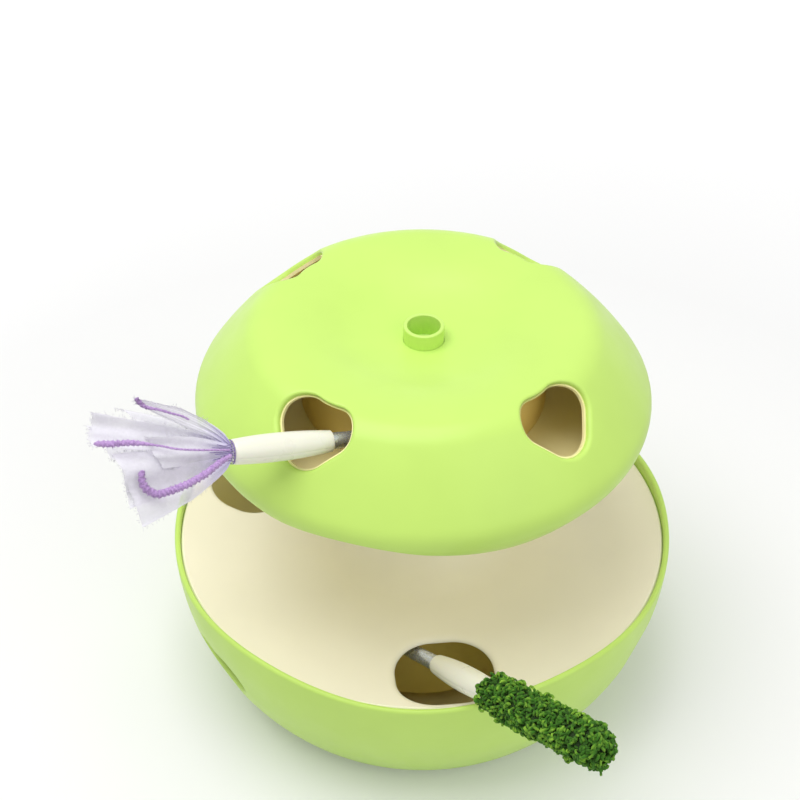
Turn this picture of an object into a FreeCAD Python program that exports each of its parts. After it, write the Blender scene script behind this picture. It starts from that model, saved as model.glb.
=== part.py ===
"""Automatic cat teaser: an apple in two halves, each with a wand that swings and slides out of a hole.

Millimetres, +Z up. The origin is the middle of the silicone pad that the toy stands on.
An azimuth is measured round Z from the front, which is -Y, towards +X.
"""
import FreeCAD, Part
import Sketcher
import math
import os
import re
from FreeCAD import Matrix, Placement, Rotation, Vector

UP = Vector(0, 0, 1)
CENTRE = Vector(0, 0, 0)
PRESSURE_ANGLE = math.radians(20)

# Driving dimensions: cell name, value, what it is
SIZES = [
    ("rim_height", 70.0, "table to the mean height of the bowl's rim"),
    ("bowl_radius", 104.6, "outside of the bowl at its rim"),
    ("bowl_side_curve", 107.2, "radius of the bowl's side in section"),
    ("base_curve", 16.0, "radius of the bowl's bottom corner in section"),
    ("bowl_wall", 2.4, "bowl wall"),
    ("bowl_lift", 0.8, "table to the underside of the bowl"),
    ("bowl_opening", 60.0, "radius of the opening in the bowl's bottom"),
    ("rim_wave", 2.0, "height of the bowl rim's wave"),
    ("rim_wave_turn", 33.2, "azimuth of a crest of the bowl rim's wave"),
    ("pad_radius", 57.0, "silicone pad under the base"),
    ("cover_radius", 66.0, "base cover"),
    ("cover_thick", 2.2, "base cover"),
    ("post_circle", 63.0, "radius of the circle of posts that hold the plate"),
    ("post_radius", 3.6, "post under the plate"),
    ("post_turn", 96.0, "azimuth of the first post"),
    ("screw_radius", 1.25, "screw shank"),
    ("screw_head", 2.5, "screw head radius"),
    ("screw_head_thick", 1.3, "screw head"),
    ("screw_length", 9.0, "screw shank length"),
    ("column_screw_length", 4.2, "shank of the screws through the column's flanges"),
    ("motor_screw_length", 5.0, "shank of the screws through a motor plate"),
    ("boss_wall", 2.2, "wall of the seat round the centre spindle"),
    ("boss_tall", 5.0, "seat round the centre spindle"),
    ("seat_gap", 0.1, "gap between a fixed piece and its seat"),
    ("plate_thick", 2.2, "flesh plate and upper floor"),
    ("plate_sink", 8.5, "rim down to the flat of the flesh plate"),
    ("plate_upturn", 30.6, "rim of the bowl to where the plate starts to turn up"),
    ("plate_gap", 0.2, "gap between a plate's edge and its shell"),
    ("plate_lip", 0.4, "lowest place of the rim down to the plate's edge"),
    ("plate_spare", 2.0, "plate's turn past its edge, in degrees, before it is trimmed"),
    ("plate_hole_inset", 24.4, "rim of the bowl to the circle of oval holes"),
    ("plate_hole_turn", 6.0, "azimuth of the first oval hole"),
    ("plate_hole_width", 39.0, "oval hole, round the plate"),
    ("plate_hole_depth", 35.5, "oval hole, outwards"),
    ("plate_hole_corner", 15.5, "corner radius of an oval hole"),
    ("plate_hole_bevel", 1.8, "bevel under the edge of an oval hole"),
    ("side_heart_turn", 65.0, "azimuth of the first heart in the bowl"),
    ("side_heart_height", 38.0, "table to the middle of a heart in the bowl"),
    ("lobe_radius", 9.5, "each of a heart's two lobes"),
    ("lobe_spread", 6.0, "heart's middle to the centre of a lobe, sideways"),
    ("lobe_rise", 3.5, "heart's middle to the centre of a lobe, upwards"),
    ("cleft_curve", 30.0, "radius of the shallow cleft between a heart's lobes"),
    ("tip_radius", 10.5, "heart's rounded tip"),
    ("tip_drop", 3.0, "heart's middle to the centre of its tip, downwards"),
    ("liner_lip", 0.7, "how far the cream liner shows inside a heart"),
    ("dome_tall", 40.1, "mean height of the dome's rim to its shoulder"),
    ("shoulder_radius", 59.5, "radius of the shoulder, the dome's highest ring"),
    ("dip_curve", 82.0, "radius of the dip round the stem in section"),
    ("shoulder_curve", 14.0, "radius of the shoulder in section"),
    ("shoulder_end", 45.0, "elevation of the surface normal where the shoulder ends"),
    ("flank_curve", 151.0, "radius of the flank in section"),
    ("flank_end", 33.6, "elevation of the surface normal where the flank ends"),
    ("edge_curve", 10.0, "radius of the dome's widest part in section"),
    ("edge_end", -35.0, "elevation of the surface normal where the straight hem starts"),
    ("dome_rim", 133.3, "table to the mean height of the dome's rim"),
    ("dome_wall", 2.2, "dome wall"),
    ("dome_wave", 4.5, "height of the dome rim's wave"),
    ("dome_wave_turn", -18.0, "azimuth of a high place of the dome's rim"),
    ("liner_gap", 0.1, "gap between dome and liner"),
    ("liner_wall", 1.4, "liner wall"),
    ("liner_seat", 1.0, "liner's foot on the upper floor"),
    ("heart_reach", 14.5, "shoulder to the middle of a dome heart, down the surface"),
    ("heart_front_left", -36.0, "azimuth of a dome heart"),
    ("heart_front_right", 44.0, "azimuth of a dome heart"),
    ("heart_back_right", 140.0, "azimuth of a dome heart"),
    ("heart_back_left", -128.0, "azimuth of a dome heart"),
    ("boss_circle", 74.0, "radius of the circle of bosses in the dome"),
    ("boss_turn", 4.0, "azimuth of the first boss in the dome"),
    ("boss_gap", 0.4, "gap in the liner round a boss and round the stem socket"),
    ("stem_radius", 8.0, "outside of the stem socket"),
    ("stem_bore", 6.4, "bore of the stem socket"),
    ("stem_stand", 6.5, "stem socket above the dome"),
    ("stem_depth", 10.0, "depth of the stem socket's bore"),
    ("stem_flange", 2.5, "how far the stem socket's flange reaches under the dome"),
    ("stem_flange_thick", 1.2, "flange of the stem socket"),
    ("stem_floor", 2.0, "floor of the stem socket"),
    ("stem_edge", 0.6, "rounding of the stem socket's rim"),
    ("floor_lift", 4.9, "mean height of the dome's rim to the underside of the upper floor"),
    ("floor_radius", 82.0, "radius of the upper floor"),
    ("column_neck", 18.6, "column at its waist"),
    ("column_end", 24.6, "column beside its flanges"),
    ("column_flange", 29.0, "column flange radius"),
    ("flange_thick", 4.0, "column flange"),
    ("column_bore", 16.1, "inside of the column"),
    ("column_recess", 22.4, "radius of the recess in each column end"),
    ("column_screw_circle", 26.6, "screws of the column"),
    ("column_screw_turn", 60.0, "azimuth of the column's first screw"),
    ("hub_radius", 18.2, "turret hub where it turns in its plate"),
    ("hub_wall", 2.6, "turret hub wall"),
    ("hub_reach", 2.3, "turret hub past its plate, into the column"),
    ("ring_reach", 2.4, "how far the retaining ring reaches past the hub"),
    ("run_gap", 0.05, "running clearance round a journal"),
    ("thrust_gap", 0.1, "end float of a turret"),
    ("motor_plate_thick", 1.8, "motor plate"),
    ("motor_stand", 2.8, "face of the half's plate to its motor plate"),
    ("motor_screw_circle", 19.2, "axis to the screws of a motor plate"),
    ("gear_module", 0.8, "all gears"),
    ("hub_teeth", 36, "internal gear in a turret's hub"),
    ("drive_teeth", 12, "pinion on a drive motor"),
    ("push_teeth", 14, "pinion on a push motor"),
    ("backlash", 0.16, "play between meshing teeth"),
    ("ring_face", 4.5, "width of the internal gear"),
    ("drive_face", 4.3, "width of the drive pinion"),
    ("push_face", 4.5, "width of the push pinion"),
    ("ring_addendum", 0.6, "internal gear"),
    ("ring_dedendum", 0.95, "internal gear"),
    ("drive_addendum", 0.8, "drive pinion"),
    ("drive_dedendum", 0.95, "drive pinion"),
    ("push_addendum", 0.7, "push pinion"),
    ("push_dedendum", 0.9, "push pinion"),
    ("gearbox_across", 10.0, "drive gearbox, outwards"),
    ("gearbox_round", 12.0, "drive gearbox, sideways"),
    ("gearbox_long", 9.0, "drive gearbox length"),
    ("motor_radius", 5.0, "drive motor can"),
    ("motor_long", 15.0, "drive motor can length"),
    ("shaft_radius", 1.5, "output shaft of every motor"),
    ("shaft_seat", 2.0, "how far a pinion's shaft reaches into its motor"),
    ("shaft_gap", 0.2, "gap round a shaft where it passes a plate"),
    ("drum_radius", 48.5, "turret drum"),
    ("drum_wall", 2.0, "turret drum wall"),
    ("drum_floor", 1.6, "turret drum floor and lid"),
    ("upper_drum_tall", 21.4, "upper turret drum"),
    ("drum_clear", 13.0, "table to the bottom of the lower turret drum"),
    ("upper_lid_hole", 22.0, "hole in the upper turret's lid, round the stem socket"),
    ("spindle_radius", 3.0, "centre spindle"),
    ("spindle_bore", 2.2, "centre spindle bore, for the leads"),
    ("upper_wand_turn", -66.3, "azimuth that the upper wand points to"),
    ("upper_wand_rise", 12.0, "elevation of the upper wand"),
    ("upper_wand_offset", 38.7, "turret axis to the upper wand"),
    ("upper_wand_lift", 12.5, "upper floor to the upper wand where it passes the turret axis"),
    ("wand_pass", 6.52, "middle of the front oval hole to where the lower wand passes, inwards"),
    ("wand_aside", 3.2058, "azimuth of the front oval hole less the wand's there"),
    ("lower_wand_offset", 33.8, "turret axis to the lower wand"),
    ("lower_wand_height", 23.7, "height of the lower wand where it passes the turret axis"),
    ("upper_pinion_at", 4.0, "upper push pinion, along the wand from its nearest point to the axis"),
    ("lower_pinion_at", 13.0, "lower push pinion, along the wand from its nearest point to the axis"),
    ("upper_travel", 27.0, "how far the upper wand draws in"),
    ("lower_travel", 14.0, "how far the lower wand draws in"),
    ("tube_radius", 3.0, "steel tube of a wand"),
    ("tube_bore", 2.4, "bore of the steel tube"),
    ("tube_spare", 4.0, "tube behind the guide's rear end"),
    ("upper_tube_end", 53.9, "front end of the upper steel tube, along the wand"),
    ("lower_tube_end", 80.7, "front end of the lower steel tube, along the wand"),
    ("stick_plug", 14.0, "how far a stick reaches into its tube"),
    ("stick_root", 3.5, "stick radius beside the tube"),
    ("stick_belly", 5.2, "stick radius at its thickest"),
    ("stick_tip", 4.5, "stick radius under the flower"),
    ("stick_belly_at", 22.0, "tube to the stick's thickest part"),
    ("stick_long", 39.4, "visible length of the upper stick"),
    ("rack_base", 5.0, "wand axis to the root of the rack's teeth"),
    ("rack_inner", 2.2, "wand axis to the inner side of the rack"),
    ("rack_dedendum", 1.0, "root of the rack to its pitch line"),
    ("rack_addendum", 0.62, "pitch line of the rack to its tips"),
    ("rack_spare", 4.0, "rack past the pinion at each end of its travel"),
    ("rack_half", 2.0, "half the rack's width"),
    ("guide_half", 6.5, "half the guide's height"),
    ("guide_after", 8.0, "push pinion to the rear end of the guide"),
    ("guide_long", 12.0, "guide"),
    ("slot_gap", 0.3, "gap round the rack in its slot"),
    ("window_gap", 0.5, "gap round the stick in the drum's wall"),
    ("fit_trim", 0.3, "guide and shelf, short of the drum's faces"),
    ("pocket_wall", 1.6, "wall round the push motor"),
    ("guide_back", 5.5, "wand axis to the guide's outer side"),
    ("guide_front", 9.5, "wand axis to the guide's inner side"),
    ("push_motor_radius", 6.0, "push motor"),
    ("push_motor_long", 5.8, "push motor"),
    ("push_motor_drop", 3.4, "wand axis down to the push motor's face"),
    ("flower_long", 50.0, "chiffon flower"),
    ("flower_wide", 21.0, "chiffon flower's radius at its mouth"),
    ("flower_neck", 4.9, "chiffon flower's radius at the tie"),
    ("flower_fold", 3.4, "depth of the flower's folds at its mouth"),
    ("flower_folds", 5.0, "folds of the chiffon flower"),
    ("flower_pleat", 0.02, "depth of the flower's folds under its tie"),
    ("tie_thick", 1.2, "tie round the flower's neck"),
    ("tie_long", 2.0, "tie round the flower's neck"),
    ("plush_start", 41.4, "lower tube's end to the plush"),
    ("plush_long", 80.1, "plush tip"),
    ("plush_radius", 8.6, "plush tip"),
    ("plush_neck", 5.6, "plush tip at its ends"),
    ("plush_taper", 8.0, "length of the rounding at each end of the plush tip"),
    ("button_turn", 126.0, "azimuth of the power button"),
    ("button_height", 28.0, "table to the middle of the power button"),
    ("button_radius", 6.0, "power button"),
    ("button_proud", 1.4, "power button above the bowl"),
    ("button_travel", 1.0, "power button"),
    ("button_sit", 0.5, "button flange behind the bowl wall"),
    ("button_flange_thick", 1.2, "button flange"),
    ("button_stem", 1.0, "button stem"),
    ("button_stem_radius", 1.5, "button stem"),
    ("button_edge", 0.8, "rounding of the button"),
    ("button_gap", 0.3, "gap round the power button"),
    ("button_flange", 1.6, "how far the button's flange reaches behind the wall"),
    ("switch_tall", 3.4, "tactile switch"),
    ("switch_side", 6.0, "tactile switch"),
    ("board_thick", 1.6, "circuit boards"),
    ("switch_board_wide", 26.0, "board behind the power button"),
    ("switch_board_tall", 12.0, "board behind the power button"),
    ("board_post_inset", 2.6, "edge of a board to the middle of a post"),
    ("board_post_radius", 2.0, "posts under the boards"),
    ("port_turn", 156.0, "azimuth of the charging port"),
    ("port_height", 13.0, "table to the middle of the charging port"),
    ("port_wide", 8.94, "charging port"),
    ("port_tall", 3.26, "charging port"),
    ("port_long", 7.4, "charging port"),
    ("port_overhang", 2.2, "front of the charging port past its board"),
    ("port_gap", 0.2, "gap round the charging port in the bowl"),
    ("port_wall", 0.4, "shell of the charging port"),
    ("port_board_wide", 18.0, "board under the charging port"),
    ("port_board_long", 14.0, "board under the charging port"),
    ("battery_wide", 34.0, "battery"),
    ("battery_long", 50.0, "battery"),
    ("battery_tall", 6.4, "battery"),
    ("battery_at", 23.5, "middle of the battery from the axis"),
    ("rail_thick", 1.5, "rails beside the battery"),
    ("rail_tall", 3.0, "rails beside the battery"),
    ("board_wide", 32.0, "main circuit board"),
    ("board_long", 44.0, "main circuit board"),
    ("board_at", 23.0, "middle of the main circuit board from the axis"),
    ("board_lift", 1.6, "base cover to the main circuit board"),
    ("chip_side", 7.0, "control chip"),
    ("chip_tall", 1.2, "control chip"),
]

# Sizes that follow from the driving ones: cell name, formula, what it is
FOLLOWING = [
    ("dome_top", "dome_rim + dome_tall", "table to the dome's shoulder"),
    ("floor_height", "dome_rim + floor_lift", "table to the underside of the upper floor"),
    ("upper_wand_height", "floor_height + upper_wand_lift", "table to the upper wand beside the turret axis"),
    ("plate_flat", "bowl_radius - plate_upturn", "radius where the flesh plate starts to turn up"),
    ("plate_edge_height", "rim_height - rim_wave - plate_lip", "table to the edge of the flesh plate"),
    ("plate_edge_radius", "bowl_radius - bowl_side_curve - plate_gap"
     " + sqrt((bowl_side_curve - bowl_wall)^2 - (rim_wave + plate_lip)^2)", "edge of the flesh plate"),
    ("plate_curve", "((plate_edge_radius - plate_flat)^2 + (plate_edge_height - rim_height + plate_sink)^2)"
     " / (2 * (plate_edge_height - rim_height + plate_sink))", "radius of the plate's upturn in section"),
    ("plate_past", "asin((plate_edge_radius - plate_flat) / plate_curve) / 1 deg + plate_spare",
     "turn of the plate's section before it is trimmed"),
    ("plate_hole_circle", "bowl_radius - plate_hole_inset", "radius of the circle of oval holes"),
    ("lower_drum_tall", "rim_height - plate_sink - plate_thick - thrust_gap - drum_clear", "lower turret drum"),
    ("lower_wand_run", "sqrt((plate_hole_circle - wand_pass)^2 - lower_wand_offset^2)",
     "level way of the lower wand up to the plate"),
    ("lower_wand_rise", "atan((rim_height - plate_sink - lower_wand_height) / lower_wand_run) / 1 deg",
     "elevation of the lower wand"),
    ("lower_wand_turn", "plate_hole_turn - wand_aside + atan(lower_wand_offset / lower_wand_run) / 1 deg",
     "azimuth that the lower wand points to"),
]

doc = FreeCAD.newDocument("cat_teaser")
sheet = doc.addObject("Spreadsheet::Sheet", "Sizes")
CELLS = SIZES + [(name, "=" + formula, meaning) for name, formula, meaning in FOLLOWING]
for row, (name, value, meaning) in enumerate(CELLS, start=1):
    sheet.set("A%d" % row, meaning)
    sheet.set("B%d" % row, str(value))
    sheet.setAlias("B%d" % row, name)
WORK_CELL = "B%d" % (len(CELLS) + 2)
doc.recompute()


class SheetValues:
    """The sheet's numbers, read by their names."""

    def __getattr__(self, name):
        return float(sheet.get(name))


s = SheetValues()


def amount(formula):
    """The number that a formula of the sheet's names comes to."""
    sheet.set(WORK_CELL, "=" + formula)
    sheet.recompute()
    return float(sheet.get(WORK_CELL))


def bound(formula):
    """The same formula, written for an object outside the sheet."""
    return re.sub(r"[a-z_]+", lambda word: PREFIXES.get(word.group(0), word.group(0)), formula)


PREFIXES = {name: "Sizes." + name for name, value, meaning in CELLS}


def at(x=0.0, y=0.0, z=0.0):
    """Placement without a turn."""
    return Placement(Vector(x, y, z), Rotation())


def frame_place(origin, x_axis, y_axis, z_axis):
    """Placement from an origin and three unit axes."""
    return Placement(Matrix(x_axis.x, y_axis.x, z_axis.x, origin.x,
                            x_axis.y, y_axis.y, z_axis.y, origin.y,
                            x_axis.z, y_axis.z, z_axis.z, origin.z,
                            0, 0, 0, 1))


def outward(turn):
    """Unit vector at an azimuth."""
    angle = math.radians(turn)
    return Vector(math.sin(angle), -math.cos(angle), 0)


def sideways(turn):
    """Unit vector square to outward, towards a larger azimuth."""
    angle = math.radians(turn)
    return Vector(math.cos(angle), math.sin(angle), 0)


def polar(radius, turn, height=0.0):
    """Point at a radius, azimuth and height."""
    return outward(turn) * radius + UP * height


def evenly(first, count):
    """Azimuths round a full turn."""
    return [first + 360.0 * number / count for number in range(count)]


def on_surface(radius, height, turn, normal_rise):
    """Placement on a round wall: local Z leaves the wall, local Y climbs it, local X goes round."""
    rise = math.radians(normal_rise)
    leaving = outward(turn) * math.cos(rise) + UP * math.sin(rise)
    climbing = outward(turn) * -math.sin(rise) + UP * math.cos(rise)
    return frame_place(polar(radius, turn, height), climbing.cross(leaving), climbing, leaving)


def bind(piece, place=None, **formulas):
    """Tie an object's sizes to the sheet and set its place."""
    for prop, formula in formulas.items():
        piece.setExpression(prop, bound(formula))
    if place:
        piece.Placement = place
    return piece


def cylinder(name, radius, height, place=None):
    """Cylinder that stands on its local origin."""
    return bind(doc.addObject("Part::Cylinder", name), place, Radius=radius, Height=height)


def box(name, length, width, height, place=None):
    """Box that stands on its local origin, centred on it in X and Y."""
    corner = at(-amount(length) / 2, -amount(width) / 2)
    return bind(doc.addObject("Part::Box", name), (place or at()).multiply(corner),
                Length=length, Width=width, Height=height)


def fuse(name, *pieces):
    """Pieces that are one moulding."""
    made = doc.addObject("Part::MultiFuse", name)
    made.Shapes = list(pieces)
    return made


def cut(name, base, *tools):
    """A piece with its holes."""
    made = doc.addObject("Part::Cut", name)
    made.Base = base
    made.Tool = tools[0] if len(tools) == 1 else fuse(name + "_holes", *tools)
    return made


def common(name, first, second):
    """What two solids share."""
    made = doc.addObject("Part::MultiCommon", name)
    made.Shapes = [first, second]
    return made


def group(name, *pieces):
    """Like pieces, each a solid of its own."""
    made = doc.addObject("Part::Compound", name)
    made.Links = list(pieces)
    return made


def shaped(name, shape):
    """Object with a shape worked out here."""
    made = doc.addObject("Part::Feature", name)
    made.Shape = shape
    return made


def outline_sketch(body, name, plane_role, corners):
    """Closed outline in a body. A corner is (x, y) or (x, y, curve): the edge to the next corner is
    then an arc of that radius round a centre on its left, or on its right where it starts with a minus."""
    sketch = body.newObject("Sketcher::SketchObject", name)
    plane = next(part for part in body.Origin.OriginFeatures if part.Role == plane_role)
    sketch.AttachmentSupport = (plane, "")
    sketch.MapMode = "FlatFace"
    points = [Vector(amount(corner[0]), amount(corner[1]), 0) for corner in corners]
    first_ends = []
    for index, corner in enumerate(corners):
        start = points[index]
        end = points[(index + 1) % len(points)]
        if len(corner) == 2:
            sketch.addGeometry(Part.LineSegment(start, end), False)
            first_ends.append((1, 2))
            continue
        clockwise = corner[2].startswith("-")
        radius = amount(corner[2].lstrip("-"))
        along = end - start
        left = Vector(-along.y, along.x, 0).normalize() * (-1 if clockwise else 1)
        centre = (start + end) * 0.5 + left * math.sqrt(radius ** 2 - along.Length ** 2 / 4)
        low, high = (end, start) if clockwise else (start, end)
        low_angle = math.atan2(low.y - centre.y, low.x - centre.x)
        high_angle = math.atan2(high.y - centre.y, high.x - centre.x)
        if high_angle < low_angle:
            high_angle += 2 * math.pi
        circle = Part.Circle(centre, UP, radius)
        sketch.addGeometry(Part.ArcOfCircle(circle, low_angle, high_angle), False)
        first_ends.append((2, 1) if clockwise else (1, 2))
    for index, corner in enumerate(corners):
        following = (index + 1) % len(corners)
        sketch.addConstraint(Sketcher.Constraint("Coincident", index, first_ends[index][1],
                                                 following, first_ends[following][0]))
        own_end = first_ends[index][0]
        for kind, formula, axis, value in (("DistanceX", corner[0], -2, points[index].x),
                                           ("DistanceY", corner[1], -1, points[index].y)):
            if formula == "0":
                sketch.addConstraint(Sketcher.Constraint("PointOnObject", index, own_end, axis))
            else:
                number = sketch.addConstraint(Sketcher.Constraint(kind, -1, 1, index, own_end, value))
                sketch.setExpression("Constraints[%d]" % number, bound(formula))
        if len(corner) == 3:
            formula = corner[2].lstrip("-")
            number = sketch.addConstraint(Sketcher.Constraint("Radius", index, amount(formula)))
            sketch.setExpression("Constraints[%d]" % number, bound(formula))
    return sketch


def turned(name, *corners, place=None):
    """Body turned round its Z axis from an outline of (radius, height) corners."""
    body = doc.addObject("PartDesign::Body", name)
    sketch = outline_sketch(body, name + "_outline", "XZ_Plane", corners)
    turning = body.newObject("PartDesign::Revolution", name + "_turned")
    turning.Profile = sketch
    turning.ReferenceAxis = (sketch, ["V_Axis"])
    turning.Angle = 360
    return bind(body, place)


def ring(name, outer, inner, height, place=None):
    """Body of a flat ring that stands on its local origin."""
    return turned(name, (inner, "0"), (outer, "0"), (outer, height), (inner, height), place=place)


def plate(name, width, length, thick, holes=(), place=None):
    """Body of a flat plate centred on its local origin, with round holes of (x, y, radius)."""
    body = doc.addObject("PartDesign::Body", name)
    half_w = "(%s) / 2" % width
    half_l = "(%s) / 2" % length
    corners = (("-" + half_w, "-" + half_l), (half_w, "-" + half_l), (half_w, half_l), ("-" + half_w, half_l))
    sketch = outline_sketch(body, name + "_outline", "XY_Plane", corners)
    for hole in holes:
        numbers = [amount(formula) for formula in hole]
        index = sketch.addGeometry(Part.Circle(Vector(numbers[0], numbers[1], 0), UP, numbers[2]), False)
        for kind, place_number in (("DistanceX", 0), ("DistanceY", 1)):
            number = sketch.addConstraint(
                Sketcher.Constraint(kind, -1, 1, index, 3, numbers[place_number]))
            sketch.setExpression("Constraints[%d]" % number, bound(hole[place_number]))
        number = sketch.addConstraint(Sketcher.Constraint("Radius", index, numbers[2]))
        sketch.setExpression("Constraints[%d]" % number, bound(hole[2]))
    pad = body.newObject("PartDesign::Pad", name + "_pad")
    pad.Profile = sketch
    pad.setExpression("Length", bound(thick))
    return bind(body, place)


def arc_edge(centre, radius, from_angle, to_angle):
    """Arc in the XZ plane between two angles in degrees."""
    def point(angle):
        turn = math.radians(angle)
        return Vector(centre[0] + radius * math.cos(turn), 0, centre[1] + radius * math.sin(turn))
    return Part.Arc(point(from_angle), point((from_angle + to_angle) / 2), point(to_angle)).toShape()


def closed_face(*chains):
    """Face in the XZ plane from chains of edges, joined end to end by straight lines."""
    edges = []
    for chain in chains:
        if edges:
            edges.append(Part.LineSegment(edges[-1].lastVertex(True).Point,
                                          chain[0].firstVertex(True).Point).toShape())
        edges.extend(chain)
    edges.append(Part.LineSegment(edges[-1].lastVertex(True).Point, edges[0].firstVertex(True).Point).toShape())
    return Part.Face(Part.Wire(edges))


def backwards(chain):
    """The same edges, run the other way."""
    turned_round = []
    for edge in reversed(chain):
        turned_round.append(edge.reversed())
    return turned_round


def round_solid(*chains):
    """Solid turned round Z from an outline."""
    return closed_face(*chains).revolve(CENTRE, UP, 360)


def bowl_chain(inset):
    """Bowl in section from its bottom opening to above its rim, a wall's depth inside the outer face."""
    side_centre = (s.bowl_radius - s.bowl_side_curve, s.rim_height)
    corner_height = s.bowl_lift + s.base_curve
    reach = s.bowl_side_curve - s.base_curve
    across = math.sqrt(reach ** 2 - (s.rim_height - corner_height) ** 2)
    corner_centre = (side_centre[0] + across, corner_height)
    meet = math.degrees(math.atan2(corner_height - s.rim_height, corner_centre[0] - side_centre[0]))
    top = math.degrees(math.asin((s.rim_wave + 2) / (s.bowl_side_curve - inset)))
    bottom = arc_edge(corner_centre, s.base_curve - inset, -90, meet)
    inner_end = Vector(s.bowl_opening, 0, s.bowl_lift + inset)
    flat = Part.LineSegment(inner_end, bottom.firstVertex(True).Point).toShape()
    return [flat, bottom, arc_edge(side_centre, s.bowl_side_curve - inset, meet, top)]


def bowl_radius_at(height, inset=0.0):
    """Radius of the bowl's side at a height."""
    radius = s.bowl_side_curve - inset
    return s.bowl_radius - s.bowl_side_curve + math.sqrt(radius ** 2 - (s.rim_height - height) ** 2)


def bowl_normal_at(height):
    """Elevation of the bowl's surface normal at a height."""
    return -math.degrees(math.asin((s.rim_height - height) / s.bowl_side_curve))


def dip_floor():
    """Height of the dome round its stem socket, where the dip is deepest."""
    half_turn = math.asin((s.shoulder_radius - s.stem_radius) / (2 * s.dip_curve))
    return s.dome_top - 2 * s.dip_curve * (1 - math.cos(half_turn))


def dome_arcs(inset):
    """Dome in section as (centre, radius, first and last elevation of the normal), from stem to hem."""
    half_turn = math.degrees(math.asin((s.shoulder_radius - s.stem_radius) / (2 * s.dip_curve)))
    rest = 90 + half_turn
    dip = ((s.stem_radius, dip_floor() + s.dip_curve), -(s.dip_curve + inset), 90, rest)
    swell = ((s.shoulder_radius, s.dome_top - s.dip_curve), s.dip_curve - inset, rest, 90)
    shoulder = (s.shoulder_radius, s.dome_top - s.shoulder_curve)
    arcs = [dip, swell, (shoulder, s.shoulder_curve - inset, 90, s.shoulder_end)]
    centre, curve, turn = shoulder, s.shoulder_curve, s.shoulder_end
    for next_curve, next_turn in ((s.flank_curve, s.flank_end), (s.edge_curve, s.edge_end)):
        step = curve - next_curve
        angle = math.radians(turn)
        centre = (centre[0] + step * math.cos(angle), centre[1] + step * math.sin(angle))
        arcs.append((centre, next_curve - inset, turn, next_turn))
        curve, turn = next_curve, next_turn
    return arcs


def dome_chain(inset, lowest):
    """Dome in section from the axis to below its hem, as edges."""
    arcs = [arc_edge(*arc) for arc in dome_arcs(inset)]
    start = arcs[0].firstVertex(True).Point
    hem = arcs[-1].lastVertex(True).Point
    fall = Vector(math.sin(math.radians(s.edge_end)), 0, -math.cos(math.radians(s.edge_end)))
    end = hem + fall * ((hem.z - lowest) / -fall.z)
    return ([Part.LineSegment(Vector(0, 0, start.z), start).toShape()] + arcs
            + [Part.LineSegment(hem, end).toShape()])


def dome_point(reach):
    """Radius, height and normal elevation a way down the dome's surface from its shoulder."""
    shoulder, flank = dome_arcs(0)[2:4]
    on_shoulder = s.shoulder_curve * math.radians(90 - s.shoulder_end)
    if reach < on_shoulder:
        centre, curve = shoulder[:2]
        turn = 90 - math.degrees(reach / s.shoulder_curve)
    else:
        centre, curve = flank[:2]
        turn = s.shoulder_end - math.degrees((reach - on_shoulder) / s.flank_curve)
    return (centre[0] + curve * math.cos(math.radians(turn)),
            centre[1] + curve * math.sin(math.radians(turn)), turn)


def wave_tool(mean, swing, crests, turn, up):
    """Solid past a wavy ring: everything above it, or below it."""
    def wavy_curve(radius):
        points = []
        for step in range(8 * crests):
            azimuth = 360.0 * step / (8 * crests)
            height = mean + swing * math.cos(math.radians(crests * (azimuth - turn)))
            points.append(polar(radius, azimuth, height))
        curve = Part.BSplineCurve()
        curve.interpolate(Points=points, PeriodicFlag=True)
        return curve.toShape()
    inner = 0.5 * s.bowl_radius
    outer = 1.5 * s.bowl_radius
    face = Part.makeRuledSurface(wavy_curve(inner), wavy_curve(outer))
    return face.extrude(UP * (s.rim_height if up else -s.rim_height))


def heart_wire(grow):
    """Heart in the XY plane, point down: two lobes, a shallow cleft and a rounded tip."""
    lobe = Vector(s.lobe_spread, s.lobe_rise, 0)
    lobe_radius = s.lobe_radius + grow
    tip = Vector(0, -s.tip_drop, 0)
    tip_radius = s.tip_radius + grow
    cleft_radius = s.cleft_curve - grow
    cleft = Vector(0, s.lobe_rise + math.sqrt((lobe_radius + cleft_radius) ** 2 - s.lobe_spread ** 2), 0)
    apart = tip - lobe
    lean = math.atan2(apart.y, apart.x) + math.acos((lobe_radius - tip_radius) / apart.Length)
    side = Vector(math.cos(lean), math.sin(lean), 0)

    def mirrored(point):
        return Vector(-point.x, point.y, 0)

    join = lobe + (cleft - lobe).normalize() * lobe_radius
    lobe_top = lobe + Vector(math.cos(math.radians(60)), math.sin(math.radians(60)), 0) * lobe_radius
    lobe_end = lobe + side * lobe_radius
    tip_start = tip + side * tip_radius
    tip_end = tip - UP.cross(Vector(1, 0, 0)) * tip_radius
    cleft_low = cleft - Vector(0, cleft_radius, 0)
    curves = [Part.Arc(mirrored(join), cleft_low, join), Part.Arc(join, lobe_top, lobe_end),
              Part.LineSegment(lobe_end, tip_start), Part.Arc(tip_start, tip_end, mirrored(tip_start)),
              Part.LineSegment(mirrored(tip_start), mirrored(lobe_end)),
              Part.Arc(mirrored(lobe_end), mirrored(lobe_top), mirrored(join))]
    return Part.Wire([curve.toShape() for curve in curves])


def heart_tool(place, grow=0.0, reach=14.0):
    """Straight heart-shaped hole through a wall, both ways from its place."""
    prism = Part.Face(heart_wire(grow)).extrude(UP * 2 * reach)
    prism.translate(UP * -reach)
    prism.Placement = place.multiply(prism.Placement)
    return prism


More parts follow.
